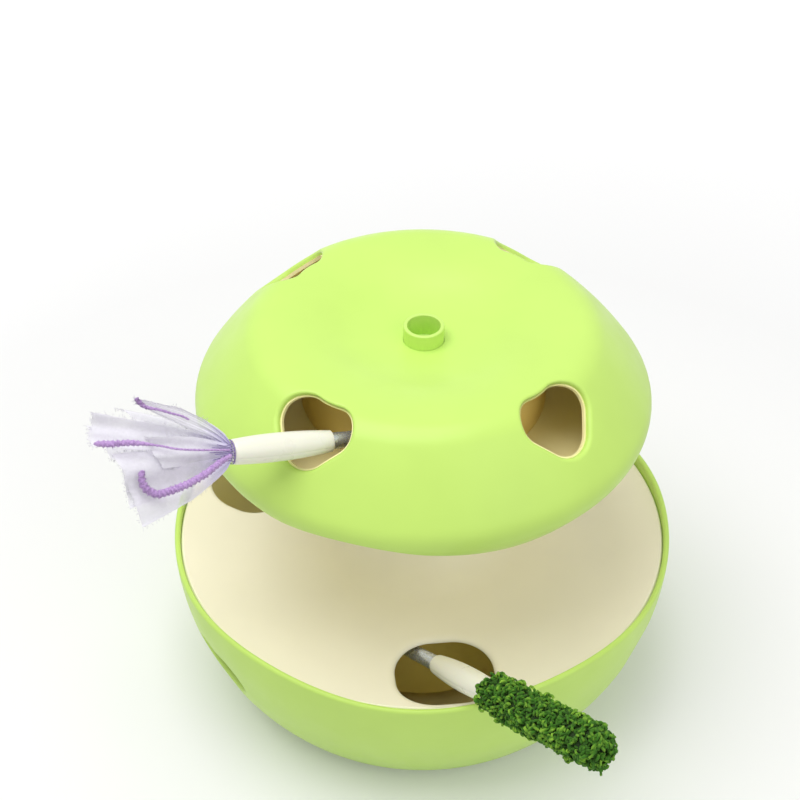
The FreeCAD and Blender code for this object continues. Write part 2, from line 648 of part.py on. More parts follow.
def rounded_wire(half_width, half_depth, corner, height):
    """Rounded rectangle round Z, at a height."""
    wire = Part.makePolygon([Vector(x * half_width, y * half_depth, height)
                             for x, y in ((-1, -1), (1, -1), (1, 1), (-1, 1), (-1, -1))])
    face = Part.Face(wire)
    prism = face.extrude(UP)
    upright = [edge for edge in prism.Edges if abs(edge.tangentAt(edge.FirstParameter).z) > 0.5]
    rounded = prism.makeFillet(corner, upright)
    return min(rounded.Faces, key=lambda side: side.CenterOfMass.z).OuterWire


def oval_tool(turn):
    """Rounded hole through the flesh plate, wider below."""
    half_width = s.plate_hole_width / 2
    half_depth = s.plate_hole_depth / 2
    bevel = s.plate_hole_bevel
    prism = Part.Face(rounded_wire(half_width, half_depth, s.plate_hole_corner, -s.plate_sink)).extrude(
        UP * 2 * s.plate_sink)
    flare = Part.makeLoft([
        rounded_wire(half_width + 2 * bevel, half_depth + 2 * bevel, s.plate_hole_corner + 2 * bevel, -bevel),
        rounded_wire(half_width, half_depth, s.plate_hole_corner, bevel)], True, True)
    tool = prism.fuse(flare)
    height = s.rim_height - s.plate_sink - s.plate_thick
    tool.Placement = frame_place(polar(s.plate_hole_circle, turn, height),
                                 sideways(turn), outward(turn) * -1, UP).multiply(tool.Placement)
    return tool


def gear_wire(teeth, tip_radius, root_radius, gap_share):
    """Involute gear outline in the XY plane, a tooth on +X. gap_share widens its gaps at the pitch circle."""
    pitch = s.gear_module * teeth / 2
    base = pitch * math.cos(PRESSURE_ANGLE)
    half_tooth = math.pi / (2 * teeth) - gap_share / (2 * pitch)

    def half_angle(radius):
        def involute(at_radius):
            pressure = math.acos(min(1.0, base / at_radius))
            return math.tan(pressure) - pressure
        return half_tooth + involute(pitch) - involute(max(radius, base))

    steps = 5
    radii = [root_radius + (tip_radius - root_radius) * step / steps for step in range(steps + 1)]
    points = []
    for tooth in range(teeth):
        middle = 2 * math.pi * tooth / teeth
        flank = [(radius, middle - half_angle(radius)) for radius in radii]
        flank += [(radius, middle + half_angle(radius)) for radius in reversed(radii)]
        points += [Vector(radius * math.cos(angle), radius * math.sin(angle), 0) for radius, angle in flank]
    return Part.makePolygon(points + points[:1])


COVER_TOP = "bowl_lift + bowl_wall + cover_thick"
PLATE_TOP = "rim_height - plate_sink"
PLATE_UNDER = PLATE_TOP + " - plate_thick"
FLOOR_TOP = "floor_height + plate_thick"
COLUMN_LONG = "floor_height - rim_height + plate_sink"
RECESS_DEEP = "motor_stand + motor_plate_thick"
SCREW_HOLE = "screw_radius + run_gap"
BUTTON_BACK = "bowl_wall + button_sit + button_flange_thick + button_stem"
SWITCH_FRONT = BUTTON_BACK + " + button_travel + run_gap"
SWITCH_BOARD = SWITCH_FRONT + " + switch_tall"
PINION_INWARD = "rack_base + rack_dedendum + gear_module * push_teeth / 2"
PORT_UNDER = "port_height - port_tall / 2"


def screws(name, length, places):
    """Like screws, each with its head on the local origin and its shank up its local Z."""
    made = []
    for number, place in enumerate(places):
        made.append(turned("%s_%d" % (name, number),
                           ("0", "0"), ("screw_head", "0"), ("screw_head", "screw_head_thick"),
                           ("screw_radius", "screw_head_thick"),
                           ("screw_radius", "screw_head_thick + " + length),
                           ("0", "screw_head_thick + " + length), place=place))
    return group(name, *made)


def screw_holes(name, length, places):
    """Cutters that leave each screw its seat."""
    cutters = []
    for number, place in enumerate(places):
        cutters.append(cylinder("%s_shank_%d" % (name, number), SCREW_HOLE,
                                "screw_head_thick + run_gap + " + length, place))
        cutters.append(cylinder("%s_head_%d" % (name, number), "screw_head + run_gap",
                                "screw_head_thick + run_gap", place.multiply(at(z=-amount("run_gap")))))
    return cutters


def post_places(height):
    """Places round the circle of posts, at a height."""
    return [at(*polar(s.post_circle, turn, height)) for turn in evenly(s.post_turn, 3)]


def button_place(depth="0"):
    """On the bowl's outer face at the power button, a way into the bowl, with local Z outwards."""
    outer = on_surface(bowl_radius_at(s.button_height), s.button_height, s.button_turn,
                       bowl_normal_at(s.button_height))
    return outer.multiply(at(z=-amount(depth)))


def port_place(inward=0.0, height=None):
    """On the bowl's inner face at the charging port: local Y outwards, local Z up."""
    if height is None:
        height = s.port_height
    corner_height = s.bowl_lift + s.base_curve
    reach = s.bowl_side_curve - s.base_curve
    corner = s.bowl_radius - s.bowl_side_curve + math.sqrt(reach ** 2 - (s.rim_height - corner_height) ** 2)
    inner = corner + math.sqrt((s.base_curve - s.bowl_wall) ** 2 - (corner_height - s.port_height) ** 2)
    return frame_place(polar(inner - inward, s.port_turn, height), sideways(s.port_turn) * -1,
                       outward(s.port_turn), UP)


BASE_SCREWS = post_places(s.bowl_lift + s.seat_gap)


def make_bowl():
    """Lower green shell: wavy rim, three hearts, a button hole, a port slot and the posts that it carries."""
    shell = round_solid(bowl_chain(0), backwards(bowl_chain(s.bowl_wall)))
    shell = shell.cut(wave_tool(s.rim_height, s.rim_wave, 5, s.rim_wave_turn, True))
    for turn in evenly(s.side_heart_turn, 3):
        place = on_surface(bowl_radius_at(s.side_heart_height), s.side_heart_height,
                           turn, bowl_normal_at(s.side_heart_height))
        shell = shell.cut(heart_tool(place))
    pieces = [shaped("bowl_shell", shell)]
    for sign in (-1, 1):
        aside = sign * (s.switch_board_wide / 2 - s.board_post_inset)
        foot = button_place(SWITCH_BOARD).multiply(at(aside))
        pieces.append(cylinder("switch_post", "board_post_radius", SWITCH_BOARD + " - bowl_wall / 2", foot))
        aside = sign * (s.port_board_wide / 2 - s.board_post_inset)
        foot = port_place(s.port_overhang + s.port_board_long - s.board_post_inset,
                          s.bowl_lift + s.bowl_wall / 2)
        pieces.append(cylinder("port_post", "board_post_radius",
                               PORT_UNDER + " - board_thick - bowl_lift - bowl_wall / 2",
                               foot.multiply(at(aside))))
    hole = cylinder("button_hole", "button_radius + button_gap", "2 * bowl_wall",
                    button_place("1.5 * bowl_wall"))
    slot = box("port_slot", "port_wide + 2 * port_gap", "4 * bowl_wall", "port_tall + 2 * port_gap",
               port_place(0, s.port_height - s.port_tall / 2 - s.port_gap).multiply(at(y=s.bowl_wall)))
    return cut("bowl", fuse("bowl_blank", *pieces), hole, slot,
               *screw_holes("bowl_screw", "screw_length", BASE_SCREWS))


def make_base():
    """Cover, pad, screws and electronics in the bottom of the bowl."""
    cover_height = s.bowl_lift + s.bowl_wall
    top = amount(COVER_TOP)
    pieces = [cylinder("cover_disc", "cover_radius", "cover_thick", at(z=cover_height)),
              cylinder("spindle_boss", "spindle_radius + boss_wall", "boss_tall + cover_thick",
                       at(z=cover_height))]
    for across in (-1, 1):
        rail = at(-s.battery_at, across * (s.battery_long + s.rail_thick + 2 * s.seat_gap) / 2, cover_height)
        pieces.append(box("battery_rail", "battery_wide", "rail_thick", "rail_tall + cover_thick", rail))
        for along in (-1, 1):
            foot = at(s.board_at + along * (s.board_wide / 2 - s.board_post_inset),
                      across * (s.board_long / 2 - s.board_post_inset), cover_height)
            pieces.append(cylinder("board_post", "board_post_radius", "board_lift + cover_thick", foot))
    bore = cylinder("spindle_seat", "spindle_radius + run_gap", "boss_tall + cover_thick", at(z=top))
    cut("base_cover", fuse("base_cover_blank", *pieces), bore,
        *screw_holes("cover_screw", "screw_length", BASE_SCREWS))
    cylinder("anti_slip_pad", "pad_radius", "bowl_lift + bowl_wall")
    screws("base_screws", "screw_length", BASE_SCREWS)
    ring("centre_spindle", "spindle_radius", "spindle_bore",
         PLATE_TOP + " + motor_stand + motor_plate_thick - (%s)" % COVER_TOP, at(z=top))
    box("battery", "battery_wide", "battery_long", "battery_tall", at(-s.battery_at, 0, top))
    plate("main_board", "board_wide", "board_long", "board_thick",
          place=at(s.board_at, 0, top + s.board_lift))
    chip_place = at(s.board_at, 0, top + s.board_lift + s.board_thick)
    box("control_chip", "chip_side", "chip_side", "chip_tall", chip_place)
    plate("switch_board", "switch_board_wide", "switch_board_tall", "board_thick",
          place=button_place(SWITCH_BOARD + " + board_thick"))
    box("tactile_switch", "switch_side", "switch_side", "switch_tall", button_place(SWITCH_BOARD))
    plate("port_board", "port_board_wide", "port_board_long", "board_thick",
          place=port_place(s.port_board_long / 2 + s.port_overhang,
                           s.port_height - s.port_tall / 2 - s.board_thick))
    socket_place = port_place(s.port_long / 2 + s.seat_gap, s.port_height - s.port_tall / 2)
    cut("charging_port", box("port_shell", "port_wide", "port_long", "port_tall", socket_place),
        box("port_mouth", "port_wide - 2 * port_wall", "port_long - port_wall", "port_tall - 2 * port_wall",
            socket_place.multiply(at(y=s.port_wall, z=s.port_wall))))


def make_button():
    """Cap with a flange behind the bowl's wall and a stem that presses the switch."""
    flange_top = "-(bowl_wall + button_sit)"
    flange_low = "-(bowl_wall + button_sit + button_flange_thick)"
    wide = "button_radius + button_flange"
    turned("power_button",
           ("0", "-(%s)" % BUTTON_BACK), ("button_stem_radius", "-(%s)" % BUTTON_BACK),
           ("button_stem_radius", flange_low), (wide, flange_low), (wide, flange_top),
           ("button_radius", flange_top), ("button_radius", "button_proud - button_edge", "button_edge"),
           ("button_radius - button_edge", "button_proud"), ("0", "button_proud"), place=button_place())


def column_screw_places(height, sense):
    """Places of the flat-headed screws through a plate into the column, heads away from it."""
    return [at(*polar(s.column_screw_circle, turn, height)).multiply(facing(sense))
            for turn in evenly(s.column_screw_turn, 3)]


def motor_screw_places(sense):
    """Places of the two screws through one half's motor plate, heads away from the core."""
    face = s.floor_height if sense > 0 else amount(PLATE_TOP)
    return [at(0, side * s.motor_screw_circle, face - sense * s.motor_stand).multiply(facing(-sense))
            for side in (-1, 1)]


def facing(sense):
    """A turn that leaves local Z up, or points it down for the lower half."""
    return frame_place(CENTRE, Vector(1, 0, 0), Vector(0, sense, 0), UP * sense)


PLATE_SCREWS = (column_screw_places(amount(PLATE_UNDER), 1)
                + column_screw_places(amount(FLOOR_TOP), -1))
FLOOR_SCREWS = [at(*polar(s.boss_circle, turn, s.floor_height)) for turn in evenly(s.boss_turn, 4)]
MOTOR_PLATE_SCREWS = motor_screw_places(1) + motor_screw_places(-1)


def make_plates():
    """Cream flesh plate of the lower half and the floor of the upper one."""
    low_curve = "plate_curve + plate_thick"

    def past_edge(radius):
        return ("plate_flat + (%s) * sin(plate_past)" % radius,
                "%s + plate_curve - (%s) * cos(plate_past)" % (PLATE_TOP, radius))

    bore = "hub_radius + run_gap"
    blank = turned("flesh_plate_turned", (bore, PLATE_UNDER), ("plate_flat", PLATE_UNDER, low_curve),
                   past_edge(low_curve), past_edge("plate_curve") + ("-plate_curve",),
                   ("plate_flat", PLATE_TOP), (bore, PLATE_TOP))
    cavity = shaped("bowl_cavity", round_solid(backwards(bowl_chain(s.bowl_wall + s.plate_gap)),
                                               [Part.LineSegment(Vector(0, 0, s.bowl_lift),
                                                                 Vector(0, 0, 2 * s.rim_height)).toShape()]))
    pieces = [common("flesh_plate_round", blank, cavity)]
    for place in post_places(amount(COVER_TOP)):
        pieces.append(cylinder("plate_post", "post_radius",
                               "%s - (%s) + plate_thick / 2" % (PLATE_UNDER, COVER_TOP), place))
    ovals = [shaped("oval_hole", oval_tool(turn)) for turn in evenly(s.plate_hole_turn, 3)]
    cut("flesh_plate", fuse("flesh_plate_blank", *pieces), *ovals,
        *screw_holes("plate_screw", "column_screw_length", PLATE_SCREWS[:3]),
        *screw_holes("post_screw", "screw_length", BASE_SCREWS))
    floor_blank = ring("floor_disc", "floor_radius", bore, "plate_thick", at(z=s.floor_height))
    cut("upper_floor", floor_blank, *screw_holes("floor_screw", "column_screw_length", PLATE_SCREWS[3:]),
        *screw_holes("dome_screw", "screw_length", FLOOR_SCREWS))
    screws("column_screws", "column_screw_length", PLATE_SCREWS)
    screws("dome_screws", "screw_length", FLOOR_SCREWS)


def make_column():
    """Core of the apple: hourglass tube with a flange and a recess at each end, and the screws in it."""
    low_bend = "flange_thick"
    high_bend = COLUMN_LONG + " - flange_thick"
    half = "((%s) / 2 - flange_thick)" % COLUMN_LONG
    waist_curve = "(%s^2 + (column_end - column_neck)^2) / (2 * (column_end - column_neck))" % half
    high_recess = "%s - (%s)" % (COLUMN_LONG, RECESS_DEEP)
    blank = turned("column_blank",
                   ("column_recess", "0"), ("column_flange", "0"), ("column_flange", low_bend),
                   ("column_end", low_bend, "-" + waist_curve), ("column_end", high_bend),
                   ("column_flange", high_bend), ("column_flange", COLUMN_LONG), ("column_recess", COLUMN_LONG),
                   ("column_recess", high_recess), ("column_bore", high_recess),
                   ("column_bore", RECESS_DEEP), ("column_recess", RECESS_DEEP), place=at(z=amount(PLATE_TOP)))
    cut("core_column", blank, *screw_holes("column_screw", "column_screw_length", PLATE_SCREWS),
        *screw_holes("ledge_screw", "motor_screw_length", MOTOR_PLATE_SCREWS))
    screws("motor_plate_screws", "motor_screw_length", MOTOR_PLATE_SCREWS)


def make_dome():
    """Upper green shell with its bosses, its cream liner, and the cup for the stem."""
    shell = round_solid(dome_chain(0, s.dome_rim - 2 * s.dome_wave),
                        backwards(dome_chain(s.dome_wall, s.dome_rim - 2 * s.dome_wave)))
    shell = shell.cut(wave_tool(s.dome_rim, s.dome_wave, 4, s.dome_wave_turn, False))
    liner_out = s.dome_wall + s.liner_gap
    floor_top = amount(FLOOR_TOP)
    liner = round_solid(dome_chain(liner_out, s.dome_rim),
                        backwards(dome_chain(liner_out + s.liner_wall, s.dome_rim)))
    liner = liner.cut(Part.makeCylinder(2 * s.bowl_radius, floor_top))
    hem = dome_arcs(liner_out + s.liner_wall / 2)[-1]
    seat = Part.makeCylinder(hem[0][0] + hem[1] - s.seat_gap, s.liner_wall, Vector(0, 0, floor_top))
    seat = seat.cut(Part.makeCylinder(s.floor_radius - s.liner_seat, 2 * s.liner_wall, Vector(0, 0, floor_top)))
    liner = liner.fuse(seat)
    radius, height, rise = dome_point(s.heart_reach)
    for turn in (s.heart_front_left, s.heart_front_right, s.heart_back_right, s.heart_back_left):
        place = on_surface(radius, height, turn, rise)
        shell = shell.cut(heart_tool(place))
        liner = liner.cut(heart_tool(place, -s.liner_lip))
    inside = shaped("dome_inside", round_solid(dome_chain(s.dome_wall / 2, s.dome_rim)))
    bosses = []
    clearances = []
    for number, place in enumerate(FLOOR_SCREWS):
        foot = place.multiply(at(z=s.plate_thick))
        rod = cylinder("boss_rod_%d" % number, "post_radius", "dome_top - floor_height", foot)
        bosses.append(common("boss_%d" % number, rod, inside))
        clearances.append(cylinder("boss_gap_%d" % number, "post_radius + boss_gap",
                                   "dome_top - floor_height", foot))
    stem_hole = cylinder("stem_hole", "stem_radius + run_gap", "2 * dome_top")
    cut("dome", fuse("dome_blank", shaped("dome_shell", shell), *bosses), stem_hole,
        *screw_holes("boss_screw", "screw_length", FLOOR_SCREWS))
    clearances.append(cylinder("stem_flange_hole", "stem_radius + stem_flange + boss_gap", "2 * dome_top"))
    cut("dome_liner", shaped("liner_shell", liner), *clearances)
    top = "stem_stand"
    flange_top = "-dome_wall"
    flange_low = "-(dome_wall + stem_flange_thick)"
    bottom = "stem_stand - stem_depth - stem_floor"
    turned("stem_socket",
           ("0", bottom), ("stem_radius", bottom), ("stem_radius", flange_low),
           ("stem_radius + stem_flange", flange_low), ("stem_radius + stem_flange", flange_top),
           ("stem_radius", flange_top), ("stem_radius", "stem_stand - stem_edge", "stem_edge"),
           ("stem_radius - stem_edge", top), ("stem_bore", top), ("stem_bore", "stem_stand - stem_depth"),
           ("0", "stem_stand - stem_depth"), place=at(z=dip_floor()))


class Half:
    """One half's moving parts. Depth is measured from the core's side of its plate, away from the core."""

    def __init__(self, name, sense, face, lid_hole, stick_long):
        self.name = name
        self.sense = sense
        self.face = face
        self.lid_hole = lid_hole
        self.stick_long = stick_long
        self.tall = name + "_drum_tall"
        self.rear = name + "_pinion_at"
        self.travel = name + "_travel"
        self.tube_end = name + "_tube_end"
        turn = amount(name + "_wand_turn")
        rise = math.radians(amount(name + "_wand_rise"))
        along = outward(turn) * math.cos(rise) + UP * math.sin(rise)
        inward = sideways(turn) * -sense
        foot = inward * -amount(name + "_wand_offset") + UP * amount(name + "_wand_height")
        self.wand = frame_place(foot, inward, along.cross(inward), along)

    def deep(self, depth, x=0.0, y=0.0):
        """Place at a depth, with local Z away from the core."""
        face = at(z=amount(self.face)).multiply(facing(self.sense))
        return face.multiply(at(x, self.sense * y, amount(depth)))

    def on_wand(self, along, inward=0.0, below=0.0):
        """Place on the wand's axis: local Z along the wand, local X towards the turret's axis."""
        return self.wand.multiply(at(inward, self.sense * below, along))

    def motor_place(self, below):
        """Place on the push pinion's axis, a way below the wand, with local Z away from the wand."""
        turned_round = frame_place(CENTRE, Vector(1, 0, 0), Vector(0, 0, -self.sense), Vector(0, self.sense, 0))
        return self.on_wand(amount(self.rear), amount(PINION_INWARD), below).multiply(turned_round)


def rack_shape(start, stop, mesh_at):
    """Rack in the wand's frame, its teeth towards +X, with a gap between teeth at mesh_at."""
    pitch = math.pi * s.gear_module
    pitch_line = s.rack_base + s.rack_dedendum
    tip = pitch_line + s.rack_addendum
    slope = math.tan(PRESSURE_ANGLE)
    half_pitch_tooth = pitch / 4 - s.backlash / 4
    points = [Vector(s.rack_inner, -s.rack_half, start), Vector(s.rack_base, -s.rack_half, start)]
    first = math.ceil((start - mesh_at) / pitch)
    last = math.floor((stop - mesh_at) / pitch)
    for tooth in range(first, last):
        middle = mesh_at + (tooth + 0.5) * pitch
        wide = half_pitch_tooth + s.rack_dedendum * slope
        narrow = half_pitch_tooth - s.rack_addendum * slope
        for inward, aside in ((s.rack_base, -wide), (tip, -narrow), (tip, narrow), (s.rack_base, wide)):
            points.append(Vector(inward, -s.rack_half, middle + aside))
    points += [Vector(s.rack_base, -s.rack_half, stop), Vector(s.rack_inner, -s.rack_half, stop)]
    return Part.Face(Part.makePolygon(points + points[:1])).extrude(Vector(0, 2 * s.rack_half, 0))


def placed(piece, place):
    """An object with its place, set after its shape."""
    piece.Placement = place
    return piece


def make_drives(half):
    """Motor plate, geared motor and pinion that swing a turret."""
    name = half.name + "_"
    apart = s.gear_module * (s.hub_teeth - s.drive_teeth) / 2
    under_plate = "-(%s)" % RECESS_DEEP
    disc = cylinder(name + "motor_disc", "column_recess - seat_gap", "motor_plate_thick",
                    half.deep(under_plate))
    shaft_hole = cylinder(name + "shaft_hole", "shaft_radius + shaft_gap", "motor_plate_thick",
                          half.deep(under_plate, apart))
    middle_hole = cylinder(name + "middle_hole", "spindle_radius + run_gap", "motor_plate_thick",
                           half.deep(under_plate))
    cut(name + "motor_plate", disc, shaft_hole, middle_hole,
        *screw_holes(name + "motor_plate_hole", "motor_screw_length", motor_screw_places(half.sense)))
    gearbox_foot = "-(%s) - gearbox_long" % RECESS_DEEP
    gearbox = box(name + "gearbox_case", "gearbox_across", "gearbox_round", "gearbox_long",
                  half.deep(gearbox_foot, apart))
    cut(name + "drive_gearbox", gearbox,
        cylinder(name + "gearbox_bore", "shaft_radius + run_gap", "gearbox_long", half.deep(
            "-(%s) - shaft_seat" % RECESS_DEEP, apart)))
    cylinder(name + "drive_motor", "motor_radius", "motor_long",
             half.deep(gearbox_foot + " - motor_long", apart))
    pitch = s.gear_module * s.drive_teeth / 2
    wheel = Part.Face(gear_wire(int(s.drive_teeth), pitch + s.drive_addendum, pitch - s.drive_dedendum,
                                s.backlash / 2)).extrude(UP * s.drive_face)
    shaft_long = s.motor_stand + s.motor_plate_thick + s.shaft_seat - s.run_gap
    wheel.translate(UP * -(s.hub_reach - s.thrust_gap))
    shaft = Part.makeCylinder(s.shaft_radius, shaft_long, Vector(0, 0, -shaft_long))
    placed(shaped(name + "drive_pinion", wheel.fuse(shaft)), half.deep("0", apart))


def make_turret(half):
    """Drum that turns in a plate: hub with its ring of teeth, guide and motor seat for the wand, and lid."""
    name = half.name + "_"
    lift = "plate_thick + thrust_gap"
    end = "%s + %s - drum_floor" % (lift, half.tall)
    inside = "drum_radius - drum_wall"
    hub_bore = "hub_radius - hub_wall"
    cup = turned(name + "drum_cup", (hub_bore, "-hub_reach"), ("hub_radius", "-hub_reach"),
                 ("hub_radius", lift), ("drum_radius", lift), ("drum_radius", end), (inside, end),
                 (inside, lift + " + drum_floor"), (hub_bore, lift + " + drum_floor"), place=half.deep("0"))
    pitch = s.gear_module * s.hub_teeth / 2
    toothed = Part.makeCylinder(s.hub_radius - s.hub_wall / 2, s.ring_face)
    spaces = Part.Face(gear_wire(int(s.hub_teeth), pitch + s.ring_dedendum, pitch - s.ring_addendum,
                                 -s.backlash / 2)).extrude(UP * s.ring_face)
    hub_teeth = placed(shaped(name + "hub_teeth_ring", toothed.cut(spaces)), half.deep("-hub_reach"))
    room = cylinder(name + "drum_room", "drum_radius - drum_wall / 2", "%s - drum_floor - fit_trim" % half.tall,
                    half.deep(lift + " + fit_trim"))
    rear = half.rear
    guide_from = "%s + guide_after" % rear
    block = box(name + "guide_block", "guide_back + guide_front", "2 * guide_half", "guide_long",
                half.on_wand(amount(guide_from), (s.guide_front - s.guide_back) / 2))
    shelf_wide = "guide_back + %s + push_motor_radius + pocket_wall" % PINION_INWARD
    shelf_from = "%s - push_motor_radius - pocket_wall" % rear
    shelf_thick = "push_motor_long - seat_gap"
    shelf_long = "%s + guide_long - (%s)" % (guide_from, shelf_from)
    shelf = box(name + "motor_shelf", shelf_wide, shelf_thick, shelf_long,
                half.on_wand(amount(shelf_from), amount(shelf_wide) / 2 - s.guide_back,
                             s.push_motor_drop + s.seat_gap + amount(shelf_thick) / 2))
    carrier = common(name + "wand_carrier", fuse(name + "wand_blocks", block, shelf), room)
    pocket = cylinder(name + "motor_pocket", "push_motor_radius + run_gap", "push_motor_long + run_gap",
                      half.motor_place(s.push_motor_drop))
    bore = cylinder(name + "wand_bore", "tube_radius + run_gap", "drum_radius", half.on_wand(amount(rear)))
    slot_wide = "rack_base + rack_dedendum + rack_addendum + slot_gap"
    slot = box(name + "rack_slot", slot_wide, "2 * rack_half + slot_gap", "drum_radius + guide_long",
               half.on_wand(amount(rear), amount(slot_wide) / 2))
    window = cylinder(name + "wand_window", "stick_belly + window_gap", "drum_radius",
                      half.on_wand(amount(guide_from + " + guide_long")))
    openings = [pocket, bore, slot, window]
    cut(name + "turret_drum", fuse(name + "turret_blank", cup, hub_teeth, carrier), *openings)
    lid = turned(name + "lid_blank", (half.lid_hole, "0"), ("drum_radius", "0"), ("drum_radius", "drum_floor"),
                 (half.lid_hole, "drum_floor"), place=half.deep(end))
    cut(name + "drum_lid", lid, window, slot)
    ring(name + "retaining_ring", "hub_radius + ring_reach", "hub_radius + run_gap / 2",
         "hub_reach - 2 * thrust_gap", half.deep("-hub_reach + thrust_gap"))
    motor = cylinder(name + "motor_case", "push_motor_radius", "push_motor_long",
                     half.motor_place(s.push_motor_drop))
    cut(name + "push_motor", motor, cylinder(name + "push_bore", "shaft_radius + run_gap", "shaft_seat",
                                             half.motor_place(s.push_motor_drop)))
    pitch = s.gear_module * s.push_teeth / 2
    wheel = Part.Face(gear_wire(int(s.push_teeth), pitch + s.push_addendum, pitch - s.push_dedendum,
                                s.backlash / 2)).extrude(UP * s.push_face)
    wheel.translate(UP * -s.push_face / 2)
    shaft = Part.makeCylinder(s.shaft_radius, s.push_motor_drop + s.shaft_seat - s.run_gap)
    placed(shaped(name + "push_pinion", wheel.fuse(shaft)), half.motor_place(0.0))


def make_wand(half):
    """Steel tube with its rack, and the stick plugged into its end."""
    name = half.name + "_"
    rear = amount(half.rear)
    start = half.rear + " + guide_after - tube_spare"
    ring(name + "wand_tube", "tube_radius", "tube_bore", "%s - (%s)" % (half.tube_end, start),
         half.on_wand(amount(start)))
    rack = rack_shape(rear - s.rack_spare, rear + amount(half.travel) + s.rack_spare, rear)
    rack = rack.cut(Part.makeCylinder(s.tube_radius, 2 * s.drum_radius, Vector(0, 0, -s.drum_radius)))
    placed(shaped(name + "wand_rack", rack), half.on_wand(0))
    long = half.stick_long
    swell = "((stick_belly - stick_root)^2 + stick_belly_at^2) / (2 * (stick_belly - stick_root))"
    taper = "((stick_belly - stick_tip)^2 + (%s - stick_belly_at)^2) / (2 * (stick_belly - stick_tip))" % long
    turned(name + "wand_stick", ("0", "-stick_plug"), ("tube_bore - run_gap", "-stick_plug"),
           ("tube_bore - run_gap", "0"), ("stick_root", "0", swell), ("stick_belly", "stick_belly_at", taper),
           ("stick_tip", long), ("0", long), place=half.on_wand(amount(half.tube_end)))


def petal_wire(radius, swing, height):
    """Closed outline of the flower's folds round Z, in arcs."""
    edges = []
    lobes = int(s.flower_folds)
    for lobe in range(lobes):
        start, middle, end = [2 * math.pi * (lobe + part / 2) / lobes for part in (0, 1, 2)]
        points = []
        for angle, reach in ((start, radius - swing), (middle, radius + swing), (end, radius - swing)):
            points.append(Vector(reach * math.cos(angle), reach * math.sin(angle), height))
        edges.append(Part.Arc(*points).toShape())
    return Part.Wire(edges)


def make_flower(half):
    """Chiffon gathered to a neck, open to five folds at its mouth, and the thread that ties it."""
    root = amount("upper_tube_end + stick_long")
    neck = s.flower_neck - s.tie_thick
    sections = [petal_wire(neck, s.flower_pleat, 0.0), petal_wire(neck, s.flower_pleat, s.tie_long)]
    mouth = s.flower_wide - s.flower_fold
    for reach, spread, fold in ((0.25, 0.52, 0.5), (0.62, 0.82, 0.86), (1.0, 1.0, 1.0)):
        sections.append(petal_wire(spread * mouth, fold * s.flower_fold, reach * s.flower_long))
    placed(shaped("chiffon_flower", Part.makeLoft(sections, True, True)), half.on_wand(root))
    ring("flower_tie", "flower_neck", "flower_neck - tie_thick + seat_gap", "tie_long", half.on_wand(root))


def make_plush(half):
    """Chenille sleeve on the end of the lower stick."""
    root = amount("lower_tube_end + plush_start")
    turned("plush_tip", ("0", "0"), ("plush_neck", "0"), ("plush_radius", "plush_taper"),
           ("plush_radius", "plush_long - plush_taper"), ("plush_neck", "plush_long"), ("0", "plush_long"),
           place=half.on_wand(root))


make_bowl()
make_base()
make_button()
make_plates()
make_column()
make_dome()

lower = Half("lower", -1, PLATE_TOP, "spindle_radius + run_gap", "plush_start")
upper = Half("upper", 1, "floor_height", "upper_lid_hole", "stick_long")
for half in (lower, upper):
    make_drives(half)
    make_turret(half)
    make_wand(half)
make_plush(lower)
make_flower(upper)
doc.recompute()

NODES = ["bowl", "base_cover", "anti_slip_pad", "base_screws", "centre_spindle", "battery", "main_board",
         "control_chip", "switch_board", "tactile_switch", "port_board", "charging_port", "power_button",
         "flesh_plate", "upper_floor", "column_screws", "dome_screws", "core_column", "motor_plate_screws",
         "dome", "dome_liner", "stem_socket", "plush_tip", "chiffon_flower", "flower_tie"]
for half_name in ("lower_", "upper_"):
    NODES += [half_name + piece for piece in (
        "motor_plate", "drive_gearbox", "drive_motor", "drive_pinion", "turret_drum", "drum_lid",
        "retaining_ring", "push_motor", "push_pinion", "wand_tube", "wand_rack", "wand_stick")]

for piece in doc.Objects:
    if "Invalid" in piece.State or "Error" in piece.State:
        raise RuntimeError("%s did not come out: %s" % (piece.Label, piece.State))
for name in NODES:
    shape = doc.getObject(name).Shape
    if shape.isNull() or not shape.isValid() or not shape.Solids:
        raise RuntimeError("%s has no valid shape" % name)
os.makedirs("parts", exist_ok=True)
for name in NODES:
    doc.getObject(name).Shape.exportStep("parts/%s.step" % name)
    print(name, len(doc.getObject(name).Shape.Solids), round(doc.getObject(name).Shape.Volume, 1))
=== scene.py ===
"""Dresses the packed model of an automatic cat teaser and sets it on a pale stage.

The toy is an apple cut in two halves on a core. Each half carries a wand that swings and slides out of it:
a chiffon flower on the upper one and a plush tip on the lower one.
Shapes are worked out in millimetres and go into the meshes in metres, in the packed model's own frame:
Z up from the table, and azimuths measured round Z from the front, -Y, towards +X.
"""

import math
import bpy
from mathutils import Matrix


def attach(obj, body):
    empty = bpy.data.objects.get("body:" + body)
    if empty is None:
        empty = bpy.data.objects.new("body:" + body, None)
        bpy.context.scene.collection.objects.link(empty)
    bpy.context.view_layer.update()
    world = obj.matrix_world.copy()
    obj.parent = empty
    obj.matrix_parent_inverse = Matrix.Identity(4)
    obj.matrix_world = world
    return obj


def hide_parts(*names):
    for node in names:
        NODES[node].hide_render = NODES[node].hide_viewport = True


bl_info = {
    "name": "Automatic Cat Teaser",
    "version": (1, 0, 0),
    "blender": (4, 5, 0),
    "location": "3D View > Sidebar > Cat Teaser",
    "description": "Dresses the packed cat teaser with its shells, wands, plush tip, flower and stage",
    "category": "Object",
}

import bmesh
import bpy
import numpy as np
from bpy.props import FloatProperty, FloatVectorProperty, IntProperty, PointerProperty

